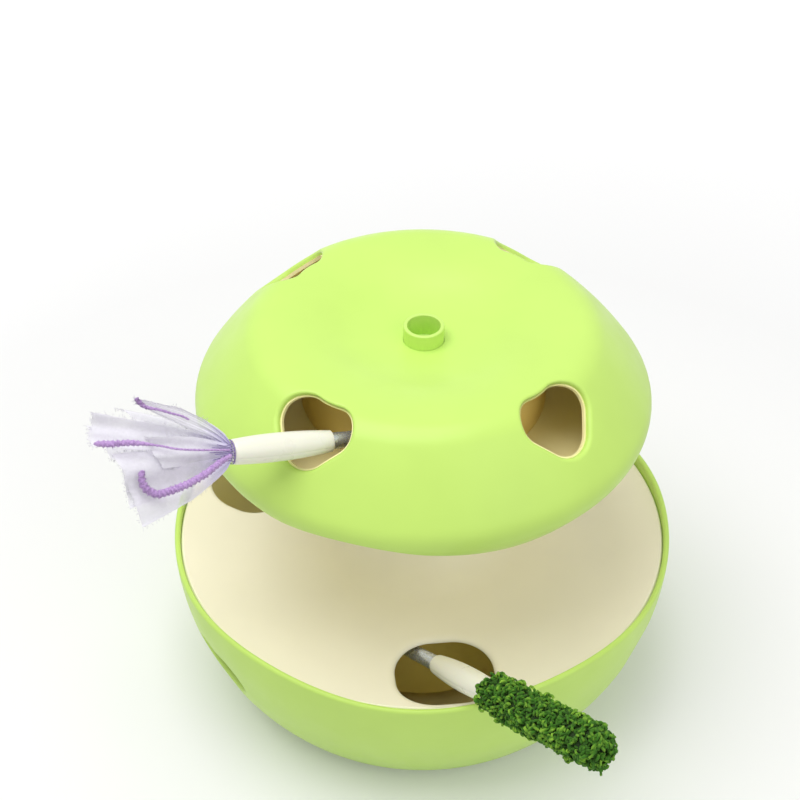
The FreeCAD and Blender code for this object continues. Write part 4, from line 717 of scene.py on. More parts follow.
def bowl_wall():
    """The bowl's wall from above its rim down to the opening in its bottom."""
    drop = BOWL_BOTTOM + BOWL_CORNER - BOWL_RIM
    lean = math.degrees(math.asin(drop / (BOWL_CURVE - BOWL_CORNER)))
    side = (BOWL_MIDDLE, BOWL_RIM, BOWL_CURVE, 2.0, lean)
    corner = arc_after(side, BOWL_CORNER, -90.0)
    return Wall(section(side, corner, (corner[0], BOWL_BOTTOM, BOWL_OPENING, BOWL_BOTTOM)), BOWL_WALL)


def plate_wall():
    """The flesh plate from its hub hole out to its upturned edge."""
    flat = (PLATE_HUB, PLATE_TOP, PLATE_FLAT, PLATE_TOP)
    upturn = (PLATE_FLAT, PLATE_TOP + PLATE_CURVE, -PLATE_CURVE, 90.0, 90.0 + PLATE_TURN)
    return Wall(section(flat, upturn), PLATE_WALL)


def rod(skin, radius, circle, azimuth, low, high, wall=None):
    """A round post, closed at both ends, that stands on a circle round the axis, or runs up into a wall.

    Its rings are the foot's middle, the foot, the top and the top's middle; under a wall the top follows it.
    """
    angle, soft = around(32), 0.3
    middle = circle * outward(math.radians(azimuth))
    reach = np.array([0, radius - soft, radius, radius, 0])[:, None]
    x, y = middle[0] + reach * np.cos(angle), middle[1] + reach * np.sin(angle)
    top = high if wall is None else wall.height_at_radius(np.hypot(x, y), wall.thick / 2)
    heights = np.broadcast_to(top, x.shape).copy()
    heights[:3] = np.array([low, low, low + soft])[:, None]
    skin.grid(np.stack([x, y, heights], -1), closed=True)


class CATTEASER_OT_make_dome(bpy.types.Operator):
    """Make the green dome with its four rolled hearts, wavy hem and bosses"""

    bl_idname = "cat_teaser.make_dome"
    bl_label = "Dome"

    def execute(self, context):
        settings = context.scene.cat_teaser_shells
        wall = dome_wall()
        shoulder = wall.way_at_radius(SHOULDER_RADIUS)
        lip = rounded_lip(settings.heart_roll / MM, DOME_WALL)
        holes = [(turn, 25.0, wall.spot(turn, shoulder + HEART_REACH), heart_arcs(), lip, 45.0)
                 for turn in DOME_HEARTS]
        skin = Skin()
        edges = ((STEM_HOLE, 26, 0.05), (wall.wavy_edge(*DOME_EDGE), 10, DOME_WALL / 2))
        holed_wall(skin, wall, holes, (shoulder - 8.0, shoulder + 36.0), (38, 46), edges)
        dome = skin.piece("dome_shell", moulded("lime_dome", settings.lime, 0.36, gloss=0.3))
        bosses = Skin()
        for azimuth in DOME_BOSSES:
            rod(bosses, POST_RADIUS, BOSS_CIRCLE, azimuth, BOSS_FOOT, None, wall)
        boss_piece = bosses.piece("dome_bosses", dome.data.materials[0])
        for piece in (dome, boss_piece):
            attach(piece, "base")
            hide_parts("dome")
        return {"FINISHED"}


class CATTEASER_OT_make_bowl(bpy.types.Operator):
    """Make the green bowl with its wavy rim, three hearts, button hole and port slot"""

    bl_idname = "cat_teaser.make_bowl"
    bl_label = "Bowl"

    def execute(self, context):
        settings = context.scene.cat_teaser_shells
        wall = bowl_wall()
        skin = Skin()
        lips = rounded_lip(settings.heart_roll / MM, BOWL_WALL), rounded_lip(0.4, BOWL_WALL)
        edges = ((wall.wavy_edge(*BOWL_EDGE), 12, BOWL_WALL / 2), (float(wall.rows[0][-1]), 14, 0.3))
        ways = (wall.way_at_height(57.5), wall.way_at_height(5.0))
        holed_wall(skin, wall, self.holes(wall, *lips), ways, (38, 46), edges)
        self.make_posts(skin, wall)
        bowl = skin.piece("bowl_shell", moulded("lime_bowl", settings.lime, 0.36, gloss=0.3))
        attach(bowl, "base")
        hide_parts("bowl")
        skin = Skin()
        film = Wall(wall.rows, FILM, BOWL_WALL + 0.01)
        lips = rounded_lip(0.1, FILM), rounded_lip(0.1, FILM)
        edges = ((wall.way_at_height(57.4), 2, 0.1), (wall.way_at_height(8.6), 2, 0.1))
        ways = (wall.way_at_height(56.5), wall.way_at_height(9.3))
        holed_wall(skin, film, self.holes(wall, *lips), ways, (24, 30), edges)
        lining = skin.piece("bowl_lining", moulded("cream_inside", settings.inside, 0.5, 0.02))
        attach(lining, "base")
        return {"FINISHED"}

    def holes(self, wall, heart_lip, fine_lip):
        """The three hearts, the button's hole and the port's slot, in the order of their azimuths."""
        heights = (BOWL_HEART_Z, BUTTON_Z, PORT_Z)
        heart_way, button_way, port_way = (wall.way_at_height(height) for height in heights)
        hearts = [(azimuth, 24.0, wall.spot(azimuth, heart_way), heart_arcs(), heart_lip, 45.0)
                  for azimuth in BOWL_HEARTS]
        circle = ((0.0, 0.0, BUTTON_HOLE, -90.0, 270.0),)
        button = (BUTTON_AT, 12.0, wall.spot(BUTTON_AT, button_way), circle, fine_lip, 45.0)
        port = oblong_arcs(PORT_WIDE, PORT_TALL, PORT_CORNER)
        slot = (PORT_AT, 9.0, wall.spot(PORT_AT, port_way, 0.0), port, fine_lip, 25.0)
        return [hearts[0], button, slot, hearts[1], hearts[2]]

    def make_posts(self, skin, wall):
        """The posts of the two small boards: two behind the button, along its axis, and two upright."""
        turn, way, lean = wall.spot(BUTTON_AT, wall.way_at_height(BUTTON_Z))
        inward = -(outward(turn) * math.cos(lean) + UP * math.sin(lean))
        axes = np.stack([sideways(turn), np.cross(inward, sideways(turn)), inward])
        port_turn = math.radians(PORT_AT)
        for sense in (-1, 1):
            for posts, foot, across, post_axes in (
                    (BUTTON_POSTS, wall.point(np.array(turn), np.array(way), 0.0), sideways(turn), axes),
                    (PORT_POSTS, PORT_POST_CIRCLE * outward(port_turn), sideways(port_turn), np.eye(3))):
                aside, radius, low, high = posts
                place = (foot + sense * aside * across, post_axes)
                turned_grid(skin, (0, radius, radius, 0), (low, low, high, high), place, 20)


class CATTEASER_OT_make_flesh(bpy.types.Operator):
    """Make the cream flesh plate with its three oval holes, and finish the lining, core and upper floor"""

    bl_idname = "cat_teaser.make_flesh"
    bl_label = "Flesh and Core"

    def execute(self, context):
        settings = context.scene.cat_teaser_shells
        wall = plate_wall()
        arcs = oblong_arcs(PLATE_HOLE_WIDE, PLATE_HOLE_DEEP, PLATE_HOLE_CORNER)
        lip = rounded_lip(settings.hole_roll / MM, PLATE_WALL, flare=0.8, spread=1.7)
        hole_way = wall.way_at_radius(PLATE_HOLE_CIRCLE)
        holes = [(azimuth, 24.0, wall.spot(azimuth, hole_way, math.pi / 2), arcs, lip, 42.0)
                 for azimuth in PLATE_HOLES]
        skin = Skin()
        ways = (wall.way_at_radius(54.0), wall.way_at_radius(100.9))
        holed_wall(skin, wall, holes, ways, (36, 46), ((0.0, 14, 0.2), (float(wall.rows[0][-1]), 3, 0.5)))
        for azimuth in PLATE_POSTS:
            rod(skin, POST_RADIUS, POST_CIRCLE, azimuth, POST_FOOT, POST_TOP)
        finish = moulded("cream_flesh", settings.cream, 0.42, 0.02)
        flesh = skin.piece("flesh_shell", finish)
        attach(flesh, "base")
        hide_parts("flesh_plate")
        repaint(("core_column",), finish)
        skin = Skin()
        for foot, sense in ((CORE_FOOT, 1), (CORE_HEAD, -1)):
            self.cove(skin, foot, sense)
        coves = skin.piece("core_coves", finish)
        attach(coves, "base")
        repaint(("dome_liner", "upper_floor"), moulded("cream_lining", settings.inside, 0.42, 0.02))
        return {"FINISHED"}

    def cove(self, skin, foot, sense):
        """A round cove at one end of the core.

        Its arc touches the plate level, and touches the core's own waist arc where the line through both
        centres meets them: both are hollow, so their centres lie as far apart as their curves differ.
        """
        rise = (CORE_HEAD - CORE_FOOT) / 2 - CORE_COVE
        between = CORE_CURVE - CORE_COVE
        centre = CORE_WAIST + CORE_CURVE - math.sqrt(between ** 2 - rise ** 2)
        leans = np.linspace(-math.pi / 2, -math.pi + math.asin(rise / between), 28)
        curve = CORE_COVE - COVE_SINK
        radii = (centre + curve * np.cos(leans)).tolist()
        ups = (CORE_COVE + curve * np.sin(leans)).tolist()
        radii += [radii[-1] - COVE_BACK, radii[-1] - COVE_BACK, radii[0]]
        ups += [ups[-1], 0.0, 0.0]
        turned_grid(skin, radii + radii[:1], foot + sense * np.array(ups + ups[:1]), count=96)


class CATTEASER_OT_make_stem(bpy.types.Operator):
    """Make the round cup that stands for the apple's stem"""

    bl_idname = "cat_teaser.make_stem"
    bl_label = "Stem Socket"

    def execute(self, context):
        settings = context.scene.cat_teaser_shells
        top, outer, bore, soft, fine = DOME_FLOOR + STEM_STAND, STEM_RADIUS, STEM_BORE, 0.6, 0.4
        under, flange, deep = DOME_FLOOR - DOME_WALL, (2.5, 1.2), 10.0
        foot, turns = top - deep - 2.0, np.linspace(0, math.pi / 2, 6)
        radii = [0, outer - soft, outer, outer, outer + flange[0], outer + flange[0], outer]
        heights = [foot, foot, foot + soft, under - flange[1], under - flange[1], under, under]
        radii += (outer - soft + soft * np.cos(turns)).tolist()
        heights += (top - soft + soft * np.sin(turns)).tolist()
        radii += (bore + fine - fine * np.sin(turns)).tolist()
        heights += (top - fine + fine * np.cos(turns)).tolist()
        radii += [bore, bore - 0.8, 0]
        heights += [top - deep + 0.8, top - deep, top - deep]
        skin = Skin()
        turned_grid(skin, radii, heights, count=72)
        stem = skin.piece("stem_cup", moulded("lime_stem", settings.lime, 0.36))
        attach(stem, "base")
        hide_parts("stem_socket")
        return {"FINISHED"}


def stick_radius(height, long):
    """Radius of a stick: two shallow arcs that meet at its belly, with a rounded root."""
    swell = ((STICK_BELLY - STICK_ROOT) ** 2 + BELLY_AT ** 2) / (2 * (STICK_BELLY - STICK_ROOT))
    taper = ((STICK_BELLY - STICK_TIP) ** 2 + (long - BELLY_AT) ** 2) / (2 * (STICK_BELLY - STICK_TIP))
    curve = np.where(height < BELLY_AT, swell, taper)
    return STICK_BELLY - curve + np.sqrt(curve ** 2 - (height - BELLY_AT) ** 2)


def make_stick(name, place, long, body, node_name, finish):
    """A stick with its plug, and a short collar over the tube: a turned profile with a fine mould seam."""
    soft, turns = 0.4, np.linspace(0, math.pi / 2, 7)
    shoulder, body_ways = soft - soft * np.cos(turns) - COLLAR, np.linspace(soft, long - 0.5, 44)[1:]
    heights = np.concatenate([[-STICK_PLUG, -STICK_PLUG, 0, 0, -COLLAR], shoulder, body_ways, [long, long]])
    body_radius = stick_radius(np.maximum(heights[5:-2], 0), long)
    body_radius[:7] -= soft * (1 - np.sin(turns))
    radii = np.concatenate([[0, TUBE_BORE - 0.05, TUBE_BORE - 0.05, COLLAR_BORE, COLLAR_BORE], body_radius,
                            [STICK_TIP - 0.3, 0]])

    def seam(angle, height):
        """A groove along both sides of the stick, as a narrow bell in the angle."""
        off = np.abs(np.mod(angle + math.pi / 2, math.pi) - math.pi / 2)
        return np.where(height > soft, -SEAM_DEEP, 0.0) * np.exp(-(off / SEAM_WIDE) ** 2) * (height < long)

    skin = Skin()
    turned_grid(skin, radii, heights, place, 96, seam)
    stick = skin.piece(name, finish)
    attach(stick, body)
    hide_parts(node_name)


def make_tube(name, wand, reach, body, node_name, finish):
    """A steel tube with softened ends and its bore."""
    start, end = reach
    outer, inner, soft = TUBE_RADIUS, TUBE_BORE, TUBE_EDGE
    radii = (inner, outer - soft, outer, outer, outer - soft, inner, inner)
    heights = (start, start, start + soft, end - soft, end, end, start)
    skin = Skin()
    turned_grid(skin, radii, heights, wand_place(wand), 64)
    tube = skin.piece(name, finish)
    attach(tube, body)
    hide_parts(node_name)


class CATTEASER_OT_make_wands(bpy.types.Operator):
    """Make both wands' steel tubes and ivory sticks"""

    bl_idname = "cat_teaser.make_wands"
    bl_label = "Wands"

    def execute(self, context):
        settings = context.scene.cat_teaser_wands
        ivory = moulded("ivory_sticks", settings.ivory, 0.3, 0.02, 0.15, soft=0.1)
        steel = metal("wand_steel_finish", settings.steel, 0.27, 0.35, 0.78)
        make_tube("lower_tube_piece", LOWER_WAND, LOWER_TUBE, "lower_wand", "lower_wand_tube", steel)
        make_tube("upper_tube_piece", UPPER_WAND, UPPER_TUBE, "upper_wand", "upper_wand_tube", steel)
        for name, wand, start, end in (("lower", LOWER_WAND, LOWER_TUBE[1], LOWER_STICK_END),
                                       ("upper", UPPER_WAND, UPPER_TUBE[1], UPPER_STICK_END)):
            make_stick(name + "_stick_piece", wand_place(wand, start), end - start, name + "_wand",
                       name + "_wand_stick", ivory)
        return {"FINISHED"}


# Plush: how many clumps, how many of them cap the end, the cap's radius and the core's end
CLUMPS, CAPS, CAP_WIDE, CORE_END = 120, 11, 4.6, PLUSH_LONG - 6.2
CORE_EASE, CORE_ROOT, CORE_SWELL = 7.0, 3.2, 2.6
# Two lumps on the upper side of the plush: way along it and added size, then their length and width
LUMPS, LUMP_LONG, LUMP_WIDE = ((5.5, 0.36), (20.0, 0.4)), 3.2, 0.5
USUAL_LOOP = 6.2


def curled_loops(roots, heads, sides, lengths, curls, thick, rings=9, round_count=5):
    """Short curled fingers of pile, all worked out together.

    Each one's middle leaves its root along its heading and turns towards its side by curl times t squared,
    for t from 0 to 1, so that it stands as a stalk and ends in a hook. The middle is the sum of its own
    headings. Its radius is thick times a swelling that ends in a round tip. Returns points, faces and the
    lift, t.
    """
    share = np.linspace(0, 1, rings)
    bend = curls[:, None] * share ** 2
    along = np.cos(bend)[..., None] * heads[:, None] + np.sin(bend)[..., None] * sides[:, None]
    steps = (along[:, 1:] + along[:, :-1]) / 2 * (lengths / (rings - 1))[:, None, None]
    middle = roots[:, None] + np.concatenate([np.zeros_like(steps[:, :1]), np.cumsum(steps, axis=1)], 1)
    normal = -np.sin(bend)[..., None] * heads[:, None] + np.cos(bend)[..., None] * sides[:, None]
    other = np.cross(along, normal)
    swell = np.sqrt(np.clip(1 - np.clip((share - 0.8) / 0.2, 0, 1) ** 2, 0.0, 1)) * (0.8 + 0.35 * share)
    radius = thick[:, None] * np.maximum(swell, 0.25)
    angle = around(round_count)[:, None]
    ring = np.cos(angle) * normal[:, :, None] + np.sin(angle) * other[:, :, None]
    points = middle[:, :, None] + radius[..., None, None] * ring
    index = np.arange(len(roots) * rings * round_count).reshape(len(roots), rings, round_count)
    index = np.concatenate([index, index[:, :, :1]], 2)
    quads = np.stack([index[:, :-1, :-1], index[:, :-1, 1:], index[:, 1:, 1:], index[:, 1:, :-1]], -1)
    lift = np.broadcast_to(share[None, :, None], points.shape[:3])
    return points.reshape(-1, 3), quads.reshape(-1, 4), lift.reshape(-1)


class CATTEASER_OT_make_plush(bpy.types.Operator):
    """Make the plush tip: a lumpy core covered in curled loops of pile"""

    bl_idname = "cat_teaser.make_plush"
    bl_label = "Plush Tip"

    def execute(self, context):
        settings = context.scene.cat_teaser_wands
        skin = Skin()
        self.make_core(skin)
        # The core under the pile gets painted shade: the finish's darkest colour.
        core_painted_shade = np.zeros(skin.count)
        points, faces, tone = self.make_loops(settings.loops, settings.loop_length / MM)
        skin.add(points, faces)
        place = wand_place(LOWER_WAND, LOWER_STICK_END)
        skin.points = [put(place, part) for part in skin.points]
        finish = pile_finish("green_plush", settings.plush, settings.plush_lit_tips)
        plush = skin.piece("plush_pile", finish, merge=False, sharp=180.0)
        # The lift attribute carries the pile's painted shade at the roots and painted light at the tips.
        store(plush, "lift", np.concatenate([core_painted_shade, tone]))
        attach(plush, "lower_wand")
        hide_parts("plush_tip")
        return {"FINISHED"}

    def make_core(self, skin):
        """The core under the pile: its radius grows from both ends as a quarter circle."""
        way = np.linspace(0.5, CORE_END, 60)
        ease = np.clip(np.minimum(way - 0.5, CORE_END - way) / CORE_EASE, 0, 1)
        radius = CORE_ROOT + CORE_SWELL * np.sqrt(ease * (2 - ease))

        def lumps(angle, height):
            """Slow lumps: products of sines of the angle and the height."""
            return 0.35 * np.sin(3 * angle + 0.4 * height) * np.sin(0.9 * height) * (height > 1)

        radii, heights = np.concatenate([[0], radius, [0]]), np.concatenate([[0.5], way, [CORE_END]])
        turned_grid(skin, radii, heights, None, 30, lumps)

    def make_clumps(self, chance):
        """Places of the clumps: golden turns along the core, then a sunflower's disc over its end.

        Returns each one's way along the core, its turn, its size and its way from the axis in the disc.
        """
        clump = np.arange(CLUMPS)
        capping = clump - (CLUMPS - CAPS) + 0.5
        disc = CAP_WIDE * np.sqrt(np.clip(capping, 0.5, None) / CAPS)
        along_core = (clump + 0.5) / (CLUMPS - CAPS) * (CORE_END - 1.5) + 1.0
        way = np.where(capping < 0, along_core, CORE_END - 0.06 * disc ** 2)
        turn = clump * math.pi * (3 - math.sqrt(5)) + chance.uniform(-0.15, 0.15, CLUMPS)
        size = chance.uniform(0.74, 1.28, CLUMPS)
        upward = wand_place(LOWER_WAND)[1] @ CAMERA_UP
        off = np.angle(np.exp(1j * (turn - math.atan2(upward[1], upward[0]))))
        for lump_way, more in LUMPS:
            size += more * np.exp(-((way - lump_way) / LUMP_LONG) ** 2 - (off / LUMP_WIDE) ** 2)
        return way, turn, size, disc

    def make_loops(self, count, loop_length):
        """The pile: loops are dealt to the clumps in turn and stand evenly over a disc round each middle.

        A loop leaves the core outwards and leans away from its clump's middle, by 1.15 at the clump's rim.
        It is shorter there and gets painted shade, which sets the clumps apart. Loops at the ends also lean
        over them.
        Returns points, faces and the tone of each point: painted shade at the root that rises to painted
        light at the tip, plus random tone.
        """
        chance = np.random.default_rng(17)
        clump_way, clump_turn, clump_size, disc = self.make_clumps(chance)
        own = np.arange(count) % CLUMPS
        cap, size, disc = own >= CLUMPS - CAPS, clump_size[own], disc[own]
        rim = np.sqrt(chance.uniform(0, 1, count))
        about = chance.uniform(0, 2 * math.pi, count)
        along = np.clip(clump_way[own] + rim * np.cos(about), 0.3, CORE_END)
        turn = clump_turn[own] + rim * np.sin(about) / 6.0
        ease = np.clip(np.minimum(along, CORE_END + 1.5 - along) / CORE_EASE, 0, 1)
        core = np.where(cap, disc, 3.4 + 1.7 * np.sqrt(ease * (2 - ease)))
        far_end, near_end = np.clip((along - CORE_END) / 8.0 + 1, 0, 1), np.clip(1 - along / 3.0, 0, 1)
        out, side_way = outward(turn + math.pi / 2), outward(turn + math.pi)
        roots = out * (core * (1 - 0.2 * near_end))[:, None] + UP * along[:, None]
        over = 1.15 * rim
        aside = over * np.sin(about) + chance.normal(0, 0.12, count)
        onward = over * np.cos(about) + chance.normal(0.05, 0.12, count)
        onward += np.where(cap, 1.0, 0.3 * far_end - 0.5 * near_end)
        outer = np.where(cap, 0.2 + 0.8 * core / CAP_WIDE, 1.0)
        heads = unit(out * outer[:, None] + side_way * aside[:, None] + UP * onward[:, None])
        lean = side_way * chance.normal(0, 1, (count, 1)) + UP * chance.normal(0, 1, (count, 1))
        sides = unit(lean - heads * np.sum(lean * heads, 1, keepdims=True))
        curls = chance.uniform(2.8, 4.6, count)
        lengths = loop_length / USUAL_LOOP * 4.3 * size * (1 - 0.4 * rim ** 2) * (1 + 0.07 * curls)
        lengths *= chance.uniform(0.8, 1.12, count)
        lengths[cap & (own % 3 == 0)] *= 1.35
        thick = chance.uniform(0.38, 0.56, count)
        points, faces, lift = curled_loops(roots, heads, sides, lengths, curls, thick, rings=8)
        each = len(lift) // count
        # Painted shade and light: dark at each loop's root and bright at its tip, darker at the clump's rim,
        # and brighter on bigger clumps such as the lumps. Then random tone is added.
        tone = lift ** 1.2 * np.repeat(0.25 + 0.62 * size * (1.15 - 0.9 * rim ** 2), each)
        tone += np.repeat(chance.uniform(-0.1, 0.12, count), each)
        return points, faces, np.clip(tone, 0, 1)


# The flower's own directions: up across its wand, and away from the front
FLOWER_UP = np.array([-0.08097, 0.60381, 0.79301])
FLOWER_AWAY = np.array([-0.43732, 0.69343, -0.57263])


def flower_points(along, rise, away):
    """Points of the flower in the model's frame, from ways along the wand, up across it and away."""
    origin, axes = wand_place(UPPER_WAND, UPPER_STICK_END)
    return (origin + along[..., None] * axes[2] + rise[..., None] * FLOWER_UP
            + away[..., None] * FLOWER_AWAY)


# Strips of chiffon: name, reach, rise, away, half width half way and at the end, slant of the end, tilt,
# depth of folds and bow of the middle line
PETALS = (
    ("strip_high", 49.0, 12.6, 2.0, 5.0, 5.8, 0.0, 8.0, 1.1, 0.68),
    ("strip_pointed", 34.0, 21.0, -3.5, 3.4, 0.9, 0.0, -18.0, 0.8, 0.62),
    ("flap_low", 39.5, -8.8, -5.0, 9.4, 12.8, 0.1, 10.0, 1.6, 0.62),
    ("strip_near", 30.0, 3.0, -5.5, 5.0, 5.6, 0.1, -12.0, 1.4, 0.6),
    ("flap_inner", 40.0, -5.5, -1.5, 8.0, 9.6, 0.04, 18.0, 1.5, 0.62),
    ("strip_far", 42.0, 6.0, 12.5, 7.0, 9.0, 0.1, 55.0, 2.0, 0.6),
    ("flap_far", 30.0, -6.5, 10.0, 6.5, 7.5, -0.1, -48.0, 1.6, 0.6),
    ("flap_back", 31.0, 13.0, 8.0, 6.0, 7.5, 0.2, 40.0, 1.6, 0.6),
)


def petal_surface(chance, reach, rise, away, half_mid, half_end, slant, tilt, folds, bow):
    """One strip of chiffon as a grid.

    u runs from the knot to the end and v from edge to edge. The middle line goes out along the wand and bows
    off it as u to the power bow. The half width grows from the pleats at the knot to its half-way and end
    sizes. Folds are sines of v that fade in with u, and pleats are finer sines that fade out with u.
    The ragged edges are seeded walks that start and end at nothing.
    """
    rows, columns, half_neck = 70, 41, 1.8
    u = np.linspace(0, 1, rows)[:, None]
    v = np.linspace(-1, 1, columns)[None]
    half = half_neck + (half_mid - half_neck) * np.clip(u / 0.5, 0, 1) ** 0.7
    half = half + (half_end - half_mid) * np.clip((u - 0.5) / 0.5, 0, 1)
    ragged = chance.normal(0, 1, (rows, 2)).cumsum(0)
    ragged -= np.linspace(0, 1, rows)[:, None] * ragged[-1]
    edge = np.where(v < 0, ragged[:, :1], ragged[:, 1:]) * 0.06 * np.abs(v) ** 6 * np.sin(math.pi * u) ** 0.3
    end_wave = chance.normal(0, 1, columns).cumsum()
    end_wave = (end_wave - end_wave.mean()) * 0.17
    along = u * reach * (1 + slant * v * u) + u ** 6 * end_wave
    across = half * v + edge
    phase = chance.uniform(0, 6.28, 3)
    fold = np.sin(2.6 * v + phase[0] + 1.2 * u) + 0.45 * np.sin(6.1 * v + phase[1] - 2.0 * u)
    fold = fold * folds * u ** 0.9
    pleat = 0.34 * np.exp(-((u - 0.1) / 0.18) ** 2) * np.sin(9.5 * v + phase[2])
    neck = np.clip(u / 0.07, 0, 1)
    lean = math.radians(tilt)
    off = u ** bow
    rise_points = rise * off + across * math.cos(lean) * (0.7 + 0.3 * neck) - (fold + pleat) * math.sin(lean)
    away_points = away * off + across * math.sin(lean) + (fold + pleat) * math.cos(lean)
    return flower_points(along, rise_points, away_points), u * np.ones_like(v), v * np.ones_like(u)


FRAYS, FRAY_THICK = 700, 0.07
# Stitches at the neck: side, from -1 below to 1 above, and reach
STITCHES = ((-0.95, 7.0), (-0.6, 9.0), (-0.3, 6.0), (-0.05, 8.0), (0.2, 10.0), (0.45, 6.5), (0.7, 9.0),
            (0.95, 7.0))


# Twisted cords on the chiffon: (along, rise, away) of the points of each, and (share, radius) pairs
CORDS = {
    "cord_low": (((1.7, -0.7, -4.3), (7.3, -2.9, -6.2), (13.0, -6.0, -7.4), (19.9, -8.7, -8.0),
                  (26.5, -10.3, -8.2), (31.1, -10.8, -8.2), (34.7, -8.3, -8.0), (35.6, -4.5, -7.6),
                  (34.7, -2.3, -7.4)), ((0, 0.8), (0.2, 1.2), (0.8, 1.3), (1, 0.8))),
    "cord_middle": (((2.0, 1.0, -4.5), (8.7, 1.8, -6.2), (15.3, 2.5, -7.0), (22.4, 3.6, -7.4),
                     (27.9, 5.2, -6.6), (36.9, 7.1, -5.0), (43.3, 7.4, -3.6), (49.6, 8.0, -2.2)),
                    ((0, 0.35), (0.6, 0.35), (0.7, 0.95), (0.93, 1.1), (1, 0.7))),
    "cord_high": (((16.1, 12.9, -4.6), (18.8, 14.5, -4.8), (22.9, 15.9, -5.0), (26.4, 17.3, -5.0),
                   (31.2, 18.7, -5.0), (33.4, 20.6, -5.0), (34.4, 22.1, -5.0)),
                  ((0, 0.3), (0.55, 0.45), (0.75, 0.8), (1, 0.75))),
}


def smooth_line(spots, count):
    """A line through spots: cubic pieces whose slopes at each spot follow its neighbours, at even shares."""
    spots = np.array(spots, float)
    padded = np.concatenate([[2 * spots[0] - spots[1]], spots, [2 * spots[-1] - spots[-2]]])
    share = np.linspace(0, len(spots) - 1 - 1e-6, count)
    start = share.astype(int)
    t = (share - start)[:, None]
    a, b, c, d = (padded[start + offset] for offset in range(4))
    square, cube = 2 * a - 5 * b + 4 * c - d, 3 * b - a - 3 * c + d
    return 0.5 * (2 * b + (c - a) * t + square * t ** 2 + cube * t ** 3)


def tube(skin, line, sizes, reference):
    """A tube round a line of points: its radii are a row for each point and a column for each angle.

    The angles count from the cross product of the line's heading and the reference direction.
    """
    along = unit(np.gradient(line, axis=0))
    side = unit(np.cross(along, reference))
    other = np.cross(along, side)
    angle = around(sizes.shape[1])[:, None]
    ring = np.cos(angle) * side[:, None] + np.sin(angle) * other[:, None]
    skin.grid(line[:, None] + np.maximum(sizes, 0.01)[..., None] * ring, closed=True)


def yarn_sizes(line, radii, chance, twist=1.9, fluff=0.13, round_count=12):
    """Radii of two strands twisted together, which swell twice round the section.

    The swelling turns by twist a millimetre, and fluff adds seeded unevenness.
    """
    way = np.concatenate([[0], np.cumsum(np.linalg.norm(np.diff(line, axis=0), axis=1))])[:, None]
    share = np.linspace(0, 1, len(line))[:, None]
    close = np.clip(np.minimum(share, 1 - share) / 0.02, 0, 1) ** 0.5
    swell = 1 + 0.16 * np.cos(2 * (around(round_count) - twist * way))
    return np.interp(share, *np.array(radii).T) * swell * close * (
        1 + fluff * chance.normal(0, 1, (len(line), round_count)))


